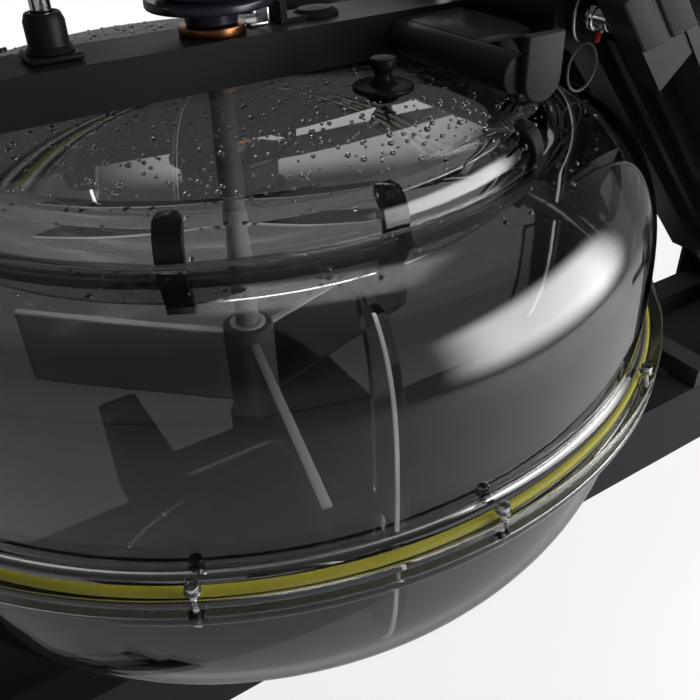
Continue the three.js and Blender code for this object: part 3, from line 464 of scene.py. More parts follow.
def shader(name, **constants):
    """A new material with its Principled shader, whose constants are set on its own sockets."""
    look = bpy.data.materials.new(name)
    look.use_nodes = True
    bsdf = look.node_tree.nodes["Principled BSDF"]
    for label, value in constants.items():
        bsdf.inputs[label.replace("_", " ")].default_value = value
    return look, look.node_tree, bsdf


def grouped(tree, group, **values):
    """Outputs of a shared effect placed in a material with its own values."""
    node = tree.nodes.new("ShaderNodeGroup")
    node.node_tree = group
    for label, value in values.items():
        node.inputs[label.replace("_", " ")].default_value = value
    return node.outputs


def patchy(tree, grain, low, high):
    """Goes from low to high over the slow patches of the grain."""
    return ramp(tree, grain["Patches"], 0.3, 0.7, low, high)


def bumped(tree, bsdf, height, depth):
    bump = put(tree, "ShaderNodeBump", strength=1.0, distance=depth * MM)
    feed(tree, height, bump.inputs["Height"])
    feed(tree, bump.outputs["Normal"], bsdf.inputs["Normal"])


def toned(colour, share, more=0.0):
    return tuple(min(1.0, c * share + more) for c in colour)


def solid_look(name, colour, rough, metallic=0.0, per_metre=1500.0, depth=0.03, wear=0.4, patch=9.0,
               gloss=0.5):
    """Paint, plastic, rubber or metal with grain, slow patches of colour and gloss, and rubbed edges."""
    look, tree, bsdf = shader(name, Metallic=metallic, Specular_IOR_Level=gloss)
    grain = grouped(tree, GRAIN, Per_Metre=per_metre, Patch=patch)
    rubbed = grouped(tree, WEAR, Amount=wear)["Mask"]
    base = blended(tree, patchy(tree, grain, 0, 1), toned(colour, 0.82), toned(colour, 1.14))
    feed(tree, blended(tree, rubbed, base, toned(colour, 1.6, 0.002)), bsdf.inputs["Base Color"])
    feed(tree, patchy(tree, grain, rough * 0.85, min(1.0, rough * 1.15)), bsdf.inputs["Roughness"])
    bumped(tree, bsdf, grain["Height"], depth)
    return look


def clear_look(name, colour, rough, ior=1.5, painted_bands=()):
    """Clear moulded plastic with faint smears in its gloss, which lets lamps light what is inside, and with
    bands of painted light and shade in tints paler or darker than its own.
    """
    look, tree, bsdf = shader(name, Transmission_Weight=1.0, IOR=ior)
    grain = grouped(tree, GRAIN, Per_Metre=220.0, Patch=14.0)
    base = blended(tree, patchy(tree, grain, 0, 1), toned(colour, 0.93), colour)
    # Painted light and shade: each band paints its own tint over the plastic
    for rim, band_colour in painted_bands:
        base = blended(tree, grouped(tree, RIM, **rim)["Mask"], base, band_colour)
    feed(tree, base, bsdf.inputs["Base Color"])
    feed(tree, patchy(tree, grain, rough * 0.6, rough * 1.4), bsdf.inputs["Roughness"])
    through = tree.nodes.new("ShaderNodeBsdfTransparent")
    feed(tree, (0.9, 0.9, 0.9), through.inputs["Color"])
    in_shade = put(tree, "ShaderNodeLightPath").outputs["Is Shadow Ray"]
    mixed(tree, in_shade, bsdf.outputs["BSDF"], through.outputs["BSDF"])
    return look


def glowing_edge_look(name, colour, glow):
    """Cut edge of clear plastic, bright with a painted glow: an emission that stands in for the light along
    its edge.
    """
    look = solid_look(name, colour, 0.3, per_metre=900.0, depth=0.02, wear=0.0)
    tree = look.node_tree
    bsdf = tree.nodes["Principled BSDF"]
    grain = grouped(tree, GRAIN, Per_Metre=300.0, Patch=40.0)
    # Painted glow: the edge emits its own pale colour
    painted_glow = blended(tree, patchy(tree, grain, 0, 1), toned(colour, 0.5), colour)
    feed(tree, painted_glow, bsdf.inputs["Emission Color"])
    bsdf.inputs["Emission Strength"].default_value = glow
    return look


def webbing_look(name, colour):
    look, tree, bsdf = shader(name, Roughness=0.8, Sheen_Weight=0.2)
    weave = grouped(tree, WEAVE, Ribs=2400.0)
    # Painted shade darkens the colour in the weave's valleys
    feed(tree, blended(tree, weave["Painted Shade"], toned(colour, 0.6), colour), bsdf.inputs["Base Color"])
    bumped(tree, bsdf, weave["Height"], 0.15)
    return look


def make_tank_looks():
    """Smoke-grey plastics with painted light and shade: paler tints painted at the flanges, the ledge and
    the lid's shoulder, where light gathers, and a darker tint painted on the bowl below the flange as
    shade.
    """
    level, sky = AXIS.z * MM, AXIS.z * MM + 0.2
    half = 0.0088
    flange = {"Radius": (SHELL.flange_radius - 14) * MM, "Low": level - half, "High": level + half}
    shoulder = {"Radius": (LID.crease_radius + 1) * MM, "Low": level + 0.086, "High": sky}
    ledge = {"Radius": 0.0, "Low": level + 0.1025, "High": sky}
    bowl = {"Radius": 0.0, "Low": 0.0, "High": level - half}
    # Painted light at the flange and the ledge, painted shade on the bowl
    painted_bands = ((flange, (0.62, 0.62, 0.6)), (ledge, (0.34, 0.34, 0.34)), (bowl, (0.19, 0.192, 0.195)))
    return {
        "smoke": clear_look("smoke tank", (0.22, 0.222, 0.226), 0.02, painted_bands=painted_bands),
        "lid": clear_look("smoke lid", (0.3, 0.303, 0.305), 0.02, painted_bands=((shoulder, (0.62, 0.62, 0.61)),)),
        "lug": clear_look("dark lid lug", (0.06, 0.06, 0.06), 0.03),
        "fin": clear_look("clear fin", (0.72, 0.73, 0.71), 0.06, 1.2),
        # Painted glow on the fins' cut edges
        "fin_edge": glowing_edge_look("glowing fin edge", (0.85, 0.86, 0.82), 0.9),
        "blade": clear_look("smoke paddle", (0.42, 0.42, 0.4), 0.1, 1.2),
        # The water is tinted grey: painted shade that makes the beads show as dark dots
        "water": clear_look("water bead", (0.45, 0.45, 0.45), 0.01, 1.6),
    }


def make_finishes():
    """Look and slot of every finish on the machine, by a maker's name for it."""
    fine, sheen = {"per_metre": 900.0, "depth": 0.02}, {"per_metre": 1100.0, "depth": 0.02, "gloss": 0.05}
    ground = {"per_metre": 1600.0, "depth": 0.01, "wear": 0.3, "patch": 30.0}
    by_slot = {
        "frame_metal": {
            "paint": solid_look("satin frame paint", (0.0125, 0.0118, 0.0132), 0.4, **sheen),
            "tongue": solid_look("light tongue paint", (0.018, 0.0165, 0.019), 0.45, **sheen)},
        "black_plastic": {
            "black": solid_look("black moulded nylon", (0.006,) * 3, 0.42, 0, 2200.0, gloss=0.09),
            "drum": solid_look("plum drum plastic", (0.012, 0.010, 0.020), 0.26, 0, 900.0, 0.01, gloss=0.4),
            "hub": solid_look("grey paddle hub", (0.12, 0.12, 0.115), 0.4, **fine),
            "edge": solid_look("pale top strip", (0.78, 0.78, 0.74), 0.35, wear=0.0, **fine)},
        "black_rubber": {
            "rubber": solid_look("black rubber", (0.012,) * 3, 0.75, 0, 1800.0, 0.08, 0.2, gloss=0.3),
            "hook": solid_look("black lid hook", (0.004,) * 3, 0.3, 0, 900.0, 0.01, gloss=0.3),
            "grip": solid_look("foam grip", (0.016, 0.016, 0.017), 0.85, 0, 2600.0, 0.2, 0.2, gloss=0.3),
            "cover": solid_look("seat cover", (0.018, 0.018, 0.02), 0.55, 0, 900.0, 0.12, 0.15, gloss=0.4)},
        "bright_chrome": {
            "chrome": solid_look("bright chrome", (0.74, 0.75, 0.77), 0.09, 1.0, 700.0, 0.004, 0.1, 30.0),
            "zinc": solid_look("zinc bolts", (0.62, 0.62, 0.63), 0.2, 1.0, 2400.0, 0.01, 0.3, 60.0),
            "red": solid_look("red tab", (0.35, 0.01, 0.02), 0.4, **fine)},
        "plain_steel": {
            "steel": solid_look("turned steel", (0.5, 0.5, 0.52), 0.3, 1.0, **ground),
            "shaft": solid_look("pale ground shaft", (0.28, 0.28, 0.272), 0.3, **ground)},
        "bearing_brass": {
            "copper": solid_look("copper bush", (0.19, 0.085, 0.035), 0.3, 1.0, 1500.0, 0.01, 0.3, 40.0)},
        "yellow_seal": {
            "cord": solid_look("yellow seal cord", (0.4, 0.368, 0.03), 0.42, depth=0.02, wear=0.0)},
        "screen_glass": {
            "screen": solid_look("display glass", (0.035, 0.045, 0.04), 0.08, 0, 400.0, 0.002, 0.0),
            "panel": solid_look("display panel", (0.11, 0.13, 0.11), 0.3, 0, 400.0, 0.002, 0.0)},
        "strap_webbing": {
            "webbing": webbing_look("strap webbing", (0.03, 0.03, 0.033)),
            "loop": solid_look("grey lanyard", (0.09, 0.085, 0.08), 0.7, 0, 3000.0, 0.1)},
        "smoked_tank": make_tank_looks(),
    }
    found = {finish: (look, slot) for slot, group in by_slot.items() for finish, look in group.items()}
    shared = {"cup": ("black", "smoked_tank"), "barrel": ("black", "frame_metal"),
              "bar": ("paint", "black_plastic"), "roller": ("rubber", "black_plastic"),
              "screw": ("steel", "black_plastic"), "wheel_hub": ("black", "black_rubber"),
              "ring": ("steel", "bright_chrome"), "axle": ("zinc", "plain_steel")}
    for finish, (other, slot) in shared.items():
        found[finish] = (found[other][0], slot)
    return found


finishes = make_finishes()


# Camera, floor and light

def make_camera():
    """The photographer's place, close above the left side of the tank, looking toward the seat."""
    spot = Vector(CAMERA.spot)
    heading, pitch, roll = CAMERA.heading, CAMERA.pitch, CAMERA.roll
    ahead = Vector((sin(heading) * cos(pitch), cos(heading) * cos(pitch), -sin(pitch)))
    side = Vector((cos(heading), -sin(heading), 0))
    up = side.cross(ahead)
    right = side * cos(roll) + up * sin(roll)
    over = up * cos(roll) - side * sin(roll)
    data = bpy.data.cameras.new("camera")
    data.lens = CAMERA.lens
    data.sensor_width = 36
    data.clip_start = 0.01
    camera = bpy.data.objects.new("camera", data)
    camera.matrix_world = Matrix((
        (right.x, over.x, -ahead.x, spot.x),
        (right.y, over.y, -ahead.y, spot.y),
        (right.z, over.z, -ahead.z, spot.z),
        (0, 0, 0, 1),
    ))
    scene.collection.objects.link(camera)
    scene.camera = camera


def seen_directly(tree, in_gloss):
    """1 for what is seen itself or through clear plastic, and a share of that for what gloss shows."""
    ray = put(tree, "ShaderNodeLightPath").outputs
    seen = scalar(tree, "MAXIMUM", ray["Is Camera Ray"], ray["Is Transmission Ray"])
    return scalar(tree, "MAXIMUM", seen, product(tree, ray["Is Glossy Ray"], in_gloss))


def make_floor():
    """Pale floor that keeps the machine's shadow, and fades to white away from it."""
    mesh = bpy.data.meshes.new("floor")
    corners = oblong(-FLOOR.half, FLOOR.half, -FLOOR.half, FLOOR.half)
    mesh.from_pydata([(x, y, 0) for x, y in corners], [], [(0, 1, 2, 3)])
    floor = bpy.data.objects.new("floor", mesh)
    scene.collection.objects.link(floor)
    look, tree, bsdf = shader("pale floor", Roughness=0.7)
    in_gloss = put(tree, "ShaderNodeLightPath").outputs["Is Glossy Ray"]
    colour = blended(tree, in_gloss, (FLOOR.colour,) * 3, (FLOOR.colour_in_gloss,) * 3)
    feed(tree, colour, bsdf.inputs["Base Color"])
    glow = tree.nodes.new("ShaderNodeEmission")
    feed(tree, (1, 1, 1), glow.inputs["Color"])
    away = put(tree, "ShaderNodeVectorMath", operation="LENGTH")
    feed(tree, place_on(tree), away.inputs[0])
    away = away.outputs["Value"]
    white = ramp(tree, away, FLOOR.fade_from, FLOOR.fade_to, FLOOR.near_white, 1.0, smooth=True)
    share = product(tree, seen_directly(tree, 0.0), white)
    mixed(tree, share, bsdf.outputs["BSDF"], glow.outputs["Emission"])
    mesh.materials.append(look)


def make_world():
    """Plain soft light, and a backdrop that is white low down and dim overhead, as in a studio."""
    world = bpy.data.worlds.new("studio")
    world.use_nodes = True
    scene.world = world
    tree = world.node_tree
    background = tree.nodes["Background"]
    feed(tree, (1, 1, 1), background.inputs["Color"])
    parts = put(tree, "ShaderNodeSeparateXYZ", vector=place_on(tree, "Generated"))
    height = parts.outputs["Z"]
    backdrop = ramp(tree, height, BACKDROP.white_to, BACKDROP.dim_from, 1.0, BACKDROP.overhead, smooth=True)
    glossy = put(tree, "ShaderNodeLightPath").outputs["Is Glossy Ray"]
    in_gloss = scalar(tree, "SUBTRACT", 1.0, product(tree, glossy, BACKDROP.gloss_loss))
    even = put(tree, "ShaderNodeMix", data_type="FLOAT", factor=seen_directly(tree, 1.0))
    feed(tree, BACKDROP.on_matt, even.inputs[2])
    feed(tree, product(tree, backdrop, in_gloss), even.inputs[3])
    feed(tree, even.outputs["Result"], background.inputs["Strength"])


def dim_edges(data, share):
    """Panel that dims toward its four edges, over a share of its width and of its height."""
    data.use_nodes = True
    tree = data.node_tree
    where = put(tree, "ShaderNodeNewGeometry").outputs["Parametric"]
    parts = put(tree, "ShaderNodeSeparateXYZ", vector=where)
    strength = 1.0
    for label in ("X", "Y"):
        across = scalar(tree, "ABSOLUTE", scalar(tree, "SUBTRACT", parts.outputs[label], 0.5))
        strength = product(tree, strength, ramp(tree, across, 0.5, 0.5 - share, smooth=True))
    feed(tree, strength, tree.nodes["Emission"].inputs["Strength"])


def lamp(name, place, target, size, power, on_matt=1.0, in_gloss=True, soft=0.25):
    """Soft panel; on_matt is the share of its light that matt surfaces get."""
    data = bpy.data.lights.new(name, "AREA")
    data.shape = "RECTANGLE"
    data.size, data.size_y = size
    data.energy = power
    data.diffuse_factor = on_matt
    dim_edges(data, soft)
    light = bpy.data.objects.new(name, data)
    light.location = place
    light.visible_camera = False
    light.visible_glossy = in_gloss
    light.rotation_euler = (Vector(target) - Vector(place)).to_track_quat("-Z", "Y").to_euler()
    scene.collection.objects.link(light)


make_camera()
make_floor()
make_world()
lamp("right panel", place=(0.89, -1.36, 0.80), target=(-0.64, 0, 0.65), size=(2.6, 1.7), power=136,
     on_matt=0.17, soft=0.3)
lamp("back panel", place=(0.78, 2.5, 1.58), target=(-0.67, -0.1, 0.61), size=(2.0, 0.95), power=7.6)
lamp("top softbox", place=(0.0, 0.4, 2.6), target=(-0.2, 0, 0.3), size=(1.6, 1.2), power=44,
     in_gloss=False)


# Tank

NEAR = SEAL.thick / 2 + GAP
FAR = NEAR + SHELL.flange_thick


def boxy_curve(form, inset, end_radius, direction, steps):
    """Points of the shell's curve, from its wall up or down to a radius."""
    power = 2 / form.boxiness
    span = form.wall_radius - inset - form.flat_radius
    end_cosine = max(0.0, (end_radius - form.flat_radius) / span) ** (1 / power)
    end = acos(end_cosine)
    points = []
    for i in range(steps + 1):
        turn = end * (i / steps) ** 1.25
        r = form.flat_radius + span * max(0.0, cos(turn)) ** power
        points.append((r, form.base + direction * (form.rise - inset) * sin(turn) ** power))
    return points


def hook_slots():
    """What the six hooks need cut out of the shell's ledge."""
    low, high = MOUTH.ledge - SHELL.wall - 2, MOUTH.ledge + 0.4
    reach = CLIP.width / 2 + GAP
    start, end = LID.rim_radius - 0.4, MOUTH.step_radius + 0.1
    outline = oblong(start, end, -reach, reach)
    return [spin_about_tank(plate("cutter", outline, low, high), CLIP.first_angle + i * 360 / CLIP.count)
            for i in range(CLIP.count)]


def wall_fillet(outer, direction):
    """Hollow round between a flange and the wall, and the rest of the wall's line beyond it."""
    reach, foot = SHELL.fillet, SHELL.radius
    arc = [(foot + reach * (1 - sin(turn)), direction * (FAR + reach * (1 - cos(turn))))
           for turn in (pi / 2 * i / 6 for i in range(7))]
    return arc, [(r, z) for r, z in outer if direction * z > FAR + reach]


def make_upper_shell():
    wall = SHELL.wall
    outer = boxy_curve(CROWN, 0, MOUTH.step_radius, 1, 26)
    inner = boxy_curve(CROWN, wall, MOUTH.step_radius + wall, 1, 22)[::-1]
    fillet, outer = wall_fillet(outer, 1)
    edge = softened([(CROWN.wall_radius - wall, NEAR), (SHELL.flange_radius, NEAR),
                     (SHELL.flange_radius, FAR), *fillet, outer[0]], 1.2, 3, closed=False)
    lip = [(MOUTH.step_radius, MOUTH.ledge), (MOUTH.radius, MOUTH.ledge),
           (MOUTH.radius, MOUTH.ledge - wall), (MOUTH.step_radius + wall, MOUTH.ledge - wall)]
    profile = edge[:-1] + softened([*outer, *lip, *inner], 1.2, 3, closed=False)
    body = cut_by(turned("upper_shell_clear", profile, SHELL.steps), *hook_slots())
    add_piece("upper_shell_clear", body, "smoke", stands_for="upper_shell", sharp=50)


def make_lower_shell():
    wall = SHELL.wall
    outer = boxy_curve(BOWL, 0, BOWL.flat_radius, -1, 26)[::-1]
    inner = boxy_curve(BOWL, wall, BOWL.flat_radius, -1, 22)
    bottom = BOWL.base - BOWL.rise
    fillet, outer = wall_fillet(outer, -1)
    edge = softened([outer[-1], *fillet[::-1], (SHELL.flange_radius, -FAR), (SHELL.flange_radius, -NEAR),
                     (BOWL.wall_radius - wall, -NEAR)], 1.2, 3, closed=False)
    profile = [(0, bottom), *outer[:-1], *edge, *inner, (0, bottom + wall)]
    body = turned("lower_shell_clear", profile, SHELL.steps)
    add_piece("lower_shell_clear", body, "smoke", stands_for="lower_shell", sharp=50)
    top = PADDLE.hub_bottom - 2 * GAP
    bore = SHAFT.radius + GAP
    cup = [(bore, SHAFT.bottom), (BOWL.cup, bottom + wall), (BOWL.cup, top), (bore, top)]
    turn_piece("bowl_cup", cup, 48, 1.5, 3, "cup")


def fin_edge(form, direction, end):
    """The line of an upright fin along the shell's wall, in (radius, height)."""
    near = direction * FAR
    curve = boxy_curve(form, SHELL.wall, form.flat_radius, direction, 40)
    wall = [(r - FIN.sink, z) for r, z in curve]
    wall = [(r, z) for r, z in wall if r > FIN.inner and abs(near) < abs(z) < abs(end)]
    return [(wall[0][0], near), *wall]


def make_fins():
    """Clear upright fins along the tank's wall, each with one pale cut edge that glows with painted light.
    """
    side = FIN.thick / 2
    for label, form, direction, end in (("upper", CROWN, 1, FIN.top), ("lower", BOWL, -1, FIN.bottom)):
        line = fin_edge(form, direction, end)
        parts = (("fin", FIN.depth, 1 - side, side), ("fin_edge", FIN.edge, -side, FIN.edge - side))
        for i in range(FIN.count):
            for finish, depth, start, stop in parts:
                inner = [(r - depth, z) for r, z in line][::-1]
                mesh = plate(finish, [(z, r) for r, z in line + inner], start, stop, "y")
                spin_about_tank(mesh, FIN.first_angle + i * 360 / FIN.count)
                add_piece(f"{label}_{finish}_{i + 1}", mesh, finish)


def make_seal():
    radius = SEAL.thick / 2
    section = [(SEAL.radius + radius * cos(tau * k / 16), radius * sin(tau * k / 16))
               for k in range(16)]
    turn_piece("seal_cord_round", section, 192, 0, 3, "cord", stands_for="seal_cord")


def bolt_mesh():
    """Socket head screw with washers and a nut, standing through the flange."""
    shank, wide, thick = BOLT.shank, BOLT.washer, BOLT.washer_thick
    head, socket, nut = BOLT.head, BOLT.socket, BOLT.nut
    low = FAR + thick
    top, nut_end = low + BOLT.head_height, low + BOLT.nut_height
    washer = oblong(shank, wide, FAR, low)
    floor = top - BOLT.socket_depth
    centre = (SHELL.bolt_radius, 0, 0)
    return joined(
        "flange_bolt",
        turned("washer", washer, 32, 0.25, 2, centre=centre),
        turned("head", [(0, low), (head, low), (head, top), (socket, top), (socket, floor), (0, floor)],
               36, 0.3, 2, hexagonal(high=BOLT.socket_limit), centre),
        turned("washer", [(r, -z) for r, z in washer], 32, 0.25, 2, centre=centre),
        turned("nut", oblong(shank, nut, -low, -nut_end), 36, 0.3, 2, hexagonal(), centre),
        turned("shank", oblong(0, shank, -FAR - BOLT.tip, low), 20, 0.4, 2, centre=centre),
    )


def make_bolts():
    for i in range(SHELL.bolts):
        mesh = spin_about_tank(bolt_mesh(), i * 360 / SHELL.bolts)
        add_piece(f"flange_bolt_{i + 1}", mesh, "zinc")


def shoulder_point(turn):
    """A point on the lid's rounded shoulder, from its flat top at 0 to its rim at a right angle."""
    r = LID.crease_radius + (LID.rim_radius - LID.crease_radius) * sin(turn)
    return r, LID.shoulder + (LID.top - LID.shoulder) * cos(turn) ** LID.fall


def lid_profile():
    top, under = LID.top, LID.top - LID.wall
    bore = LID.bore + GAP
    skirt = SKIRT.outer - SKIRT.wall
    shoulder = [shoulder_point(pi / 2 * i / 8) for i in range(9)]
    return [
        (bore, under), (LID.crease_radius - LID.wall - 2, under), (skirt - 1.5, under - 6),
        (skirt, LID.shoulder), (skirt, SKIRT.bottom), (SKIRT.outer, SKIRT.bottom),
        (SKIRT.outer, LID.rim_z), (LID.rim_radius, LID.rim_z), *shoulder[::-1], (bore, top),
    ]


def make_lid():
    body = turned("lid_clear", lid_profile(), SHELL.steps, 1.0)
    low, high, radius = LID.top - 10, LID.top + 10, LID.plug_hole
    hole = turned("cutter", oblong(0, radius, low, high), 40,
                  centre=(PLUG.x, PLUG.y, 0))
    add_piece("lid_clear", cut_by(body, hole), "lid", stands_for="lid", sharp=50)


def make_gasket():
    """Black seal ring with its six hooks, which clip over the lid's rim."""
    inner, outer, low = GASKET.inner, GASKET.outer, MOUTH.ledge + GAP
    top = low + GASKET.thick
    ring = oblong(inner, outer, low, top)
    turn_piece("gasket_ring", ring, 160, 0.6, 2, "rubber", stands_for="lid_gasket")
    for i in range(CLIP.count):
        hook = spin_about_tank(hook_mesh(), CLIP.first_angle + i * 360 / CLIP.count)
        add_piece(f"lid_hook_{i + 1}", hook, "hook", sharp=60)
    add_piece("lid_lug", spin_about_tank(hook_mesh(), CLIP.lug_angle), "lug", sharp=60)


def hook_mesh():
    """Rounded thumb that lies over the lid's shoulder, with its tail down through the ledge."""
    path = [shoulder_point(0.42 + 1.12 * i / 16) for i in range(17)]
    path += [(LID.rim_radius + 0.1, z) for z in (110, 107, 104)]
    path += [(181, 99), (178.6, 94), (177.4, SKIRT.bottom)]
    sections, travelled = [], 0.0
    for i, (r, z) in enumerate(path):
        before, after = path[max(0, i - 1)], path[min(i + 1, len(path) - 1)]
        ahead = Vector((after[0] - before[0], 0, after[1] - before[1])).normalized()
        out = Vector((-ahead.z, 0, ahead.x))
        travelled += dist((r, z), path[i - 1]) if i else 0.6
        share = min(1.0, travelled / 6.5)
        width = CLIP.width * sqrt(1 - (1 - share) ** 2)
        thick = CLIP.thick * (0.45 + 0.55 * share)
        middle = Vector((r, 0, z)) + out * (thick / 2 + 0.15)
        sections.append(strap_section(middle, out, (0, 1, 0), width, thick))
    return swept("hook", sections)


def make_plug():
    shape = ((0, -9), (7.5, -9), (9, -4.5), (9, GAP), (16.5, GAP), (16.5, 3.3), (8, 3.3), (4.6, 6),
             (4.4, 9.5), (7, 13), (7, 17), (0, 17))
    profile = [(r, LID.top + above) for r, above in shape]
    turn_piece("fill_plug_smooth", profile, 56, 1.2, 3, "black", "tank_plug", "fill_plug",
               centre=(PLUG.x, PLUG.y, 0))


def bead_mesh(spots):
    """Water beads: low domes on the lid, as (x, y, z, radius)."""
    verts, faces = [], []
    around, up, height = 9, 3, 0.8
    for x, y, z, radius in spots:
        start = len(verts)
        for k in range(up):
            turn = pi / 2 * k / up
            for i in range(around):
                angle = tau * i / around
                verts.append((x + radius * cos(turn) * cos(angle),
                              y + radius * cos(turn) * sin(angle),
                              z + radius * height * sin(turn)))
        verts.append((x, y, z + radius * height))
        for k in range(up - 1):
            row, above = start + k * around, start + (k + 1) * around
            faces.extend((row + i, row + (i + 1) % around, above + (i + 1) % around, above + i)
                         for i in range(around))
        last, peak = start + (up - 1) * around, start + up * around
        faces.extend((last + i, last + (i + 1) % around, peak) for i in range(around))
        faces.append(tuple(start + i for i in range(around))[::-1])
    return mesh_of("water_beads", verts, faces)


def make_beads():
    """Beads of water left on the lid and the crown, thicker toward the rim."""
    draw = random.Random(7)
    spots = []
    crown = boxy_curve(CROWN, 0, MOUTH.step_radius, 1, 26)
    while len(spots) < BEAD.count:
        r = BEAD.reach * draw.random() ** BEAD.crowding
        angle = draw.uniform(0, tau)
        radius = BEAD.least + BEAD.spread * draw.random() ** 2
        x, y = r * cos(angle), r * sin(angle)
        at_rim = BEAD.rim_start < r < MOUTH.step_radius + BEAD.rim_room
        if r < BEAD.hub_room or at_rim or hypot(x - PLUG.x, y - PLUG.y) < BEAD.plug_room:
            continue
        z = LID.top
        if LID.crease_radius < r < LID.rim_radius:
            across = (r - LID.crease_radius) / (LID.rim_radius - LID.crease_radius)
            z = shoulder_point(asin(across))[1] - 0.4
        if r > MOUTH.step_radius:
            z = min(crown, key=lambda point: abs(point[0] - r))[1] - 0.5
            radius *= 0.8
        if all((x - a) ** 2 + (y - b) ** 2 > (radius + c + 0.4) ** 2 for a, b, _, c in spots):
            spots.append((x, y, z + 0.04, radius))
    add_piece("water_beads", bead_mesh(spots), "water")


make_upper_shell()
make_lower_shell()
make_fins()
make_seal()
make_bolts()
make_lid()
make_gasket()
make_plug()
make_beads()


# Paddle, shaft and drum

def make_paddle():
    bore, hub, hub_top = SHAFT.radius + GAP, PADDLE.hub_radius, PADDLE.hub_top
    hub_mesh = turned("hub", oblong(bore, hub, PADDLE.hub_bottom, hub_top), 48, 2)
    blades, edges = [], []
    line = PADDLE.top - PADDLE.edge
    parts = ((blades, PADDLE.thick / 2, PADDLE.bottom, line, 0.8),
             (edges, PADDLE.lip / 2, line, PADDLE.top, 0.6))
    for i in range(PADDLE.count):
        for found, side, low, high, round_by in parts:
            mesh = block("blade", (hub - 1, -side, low), (PADDLE.reach, side, high), round_by)
            found.append(spin_about_tank(mesh, PADDLE.first_angle + i * 360 / PADDLE.count))
    edges.append(turned("hub_top", oblong(bore, 12, hub_top, hub_top + 1.2), 48, 0.4, 2))
    # The blades and the hub are paler along their tops
    add_piece("paddle_edges", edges, "edge", "paddle_rotor")
    add_piece("paddle_hub", hub_mesh, "hub", "paddle_rotor", "paddle")
    add_piece("paddle_blades", blades, "blade", "paddle_rotor")


def make_shaft():
    top = DRUM.low + 2 * DRUM.thick + DRUM.gap
    radius, end = SHAFT.radius - 0.1, top + 7.2
    rod = turned("rod", oblong(0, radius, SHAFT.bottom, end), 48, 0.8, 2)
    nut = turned("nut", oblong(7, 10.4, top + GAP, top + 7), 48, 0.8, 2, hexagonal(low=8))
    add_piece("shaft_turned", (rod, nut), "shaft", "paddle_rotor", "shaft")
    low, collar = LID.top - LID.wall, BEAM.top + GAP
    bush = [(DRUM.bore, low), (LID.bore, low), (LID.bore, collar), (18.5, collar),
            (18.5, collar + 4.6), (DRUM.bore, collar + 4.6)]
    turn_piece("bush_turned", bush, 64, 0.6, 2, "copper", stands_for="shaft_bush")


def make_drum():
    low = BEAM.top + 5.2
    bottom, lower_top = DRUM.low, DRUM.low + DRUM.thick
    upper = lower_top + DRUM.gap
    top = upper + DRUM.thick
    bore, neck, wide, core = DRUM.bore, DRUM.neck, DRUM.flange, DRUM.core
    profile = [(bore, low), (neck, low), (neck, bottom), (wide, bottom), (wide, lower_top),
               (core, lower_top), (core, upper), (wide, upper), (wide, top), (13, top),
               (13, top - 1.5), (bore, top - 1.5)]
    turn_piece("drum_smooth", profile, 96, 1.6, 4, "drum", "strap_drum", "drum")
    sections = []
    turns, steps = DRUM.turns, DRUM.turn_steps
    for i in range(turns * steps + 1):
        angle = tau * i / steps
        out = (cos(angle), sin(angle), 0)
        r = DRUM.coil - 1 - (STRAP.thick - 0.15) * (turns - i / steps)
        sections.append(strap_section((r * out[0], r * out[1], STRAP.height), out, (0, 0, 1)))
    add_piece("wound_strap", swept("wound_strap", sections), "webbing", "strap_drum")


def make_strap():
    """Pull strap: off the drum on edge, turned flat before the guide roller, and on to the handle."""
    leave = DRUM.coil + 0.6 + STRAP.thick / 2
    roller, end = STRAP.roller_x, STRAP.end_x
    stations = [roller * i / 40 for i in range(41)]
    stations += [roller + (end - roller) * i / 24 for i in range(1, 25)]
    sections = []
    for x in stations:
        upright = min(1, max(0, (roller - x) / (roller - STRAP.flat_from)))
        turn = upright * pi / 2
        sections.append(strap_section(
            (x, leave * max(0, 1 - x / roller), STRAP.height), (0, -sin(turn), cos(turn)),
            (0, cos(turn), sin(turn))))
    mesh = swept("strap_woven", sections)
    piece = add_piece("strap_woven", mesh, "webbing", None, "pull_strap")
    unwrap(mesh, lambda point: (point.x, point.y + point.z))
    return piece


def unwrap(mesh, where):
    """UV map in metres, along the webbing and across it, from where each corner lies."""
    layer = mesh.uv_layers.new(name="woven")
    for loop in mesh.loops:
        layer.data[loop.index].uv = where(mesh.vertices[loop.vertex_index].co)


make_paddle()
make_shaft()
make_drum()
pull_strap = make_strap()


# Frame tubes, beam and what stands on the beam

def make_frame():
    for finish, width, steps, angle, names in (
            ("paint", 1.6, 3, 50, "right_rail left_rail front_post rear_post upper_beam front_leg rear_leg "
                                  "rear_foot_bar front_foot_bar tank_cradle"),
            ("paint", 0.7, 2, 50, "web_plate roller_bracket handle_rest"),
            ("black", 1.2, 2, 40, "front_end_cap rear_end_cap"),
            ("rubber", 1.2, 2, 40, "front_foot_pad rear_foot_pad cradle_pad front_stop rear_stop")):
        for name in names.split():
            rounded_node(name, width, finish, steps=steps, angle=angle)


def make_rod():
    x, low, top = ROD.x, BEAM.top + GAP, ROD.top
    long, wide, radius = ROD.foot_length, ROD.foot_width, ROD.socket_radius
    foot = block("foot", (x - long, -wide, low), (x + long, wide, low + ROD.foot_thick), 1.4, 3)
    socket = [(ROD.bore, low + 4), (radius + 3, low + 3.5), (radius, low + 7),
              (radius, ROD.socket_top - 4), (radius - 1.5, ROD.socket_top), (ROD.bore, ROD.socket_top)]
    socket = turned("socket", socket, 48, 1.2, centre=(x, 0, 0))
    add_piece("rod_socket_smooth", (foot, socket), "black", stands_for="rod_socket")
    rod = oblong(0, ROD.radius, ROD.low, top - 6)
    eye = oblong(ROD.eye_bore, ROD.eye, -8, 8)
    parts = (turned("rod", rod, 40, 0.5, 2, centre=(x, 0, 0)),
             turned("eye", eye, 48, 1, 3, centre=(x, 0, top), along="y"))
    add_piece("display_rod_bright", parts, "chrome", stands_for="display_rod")


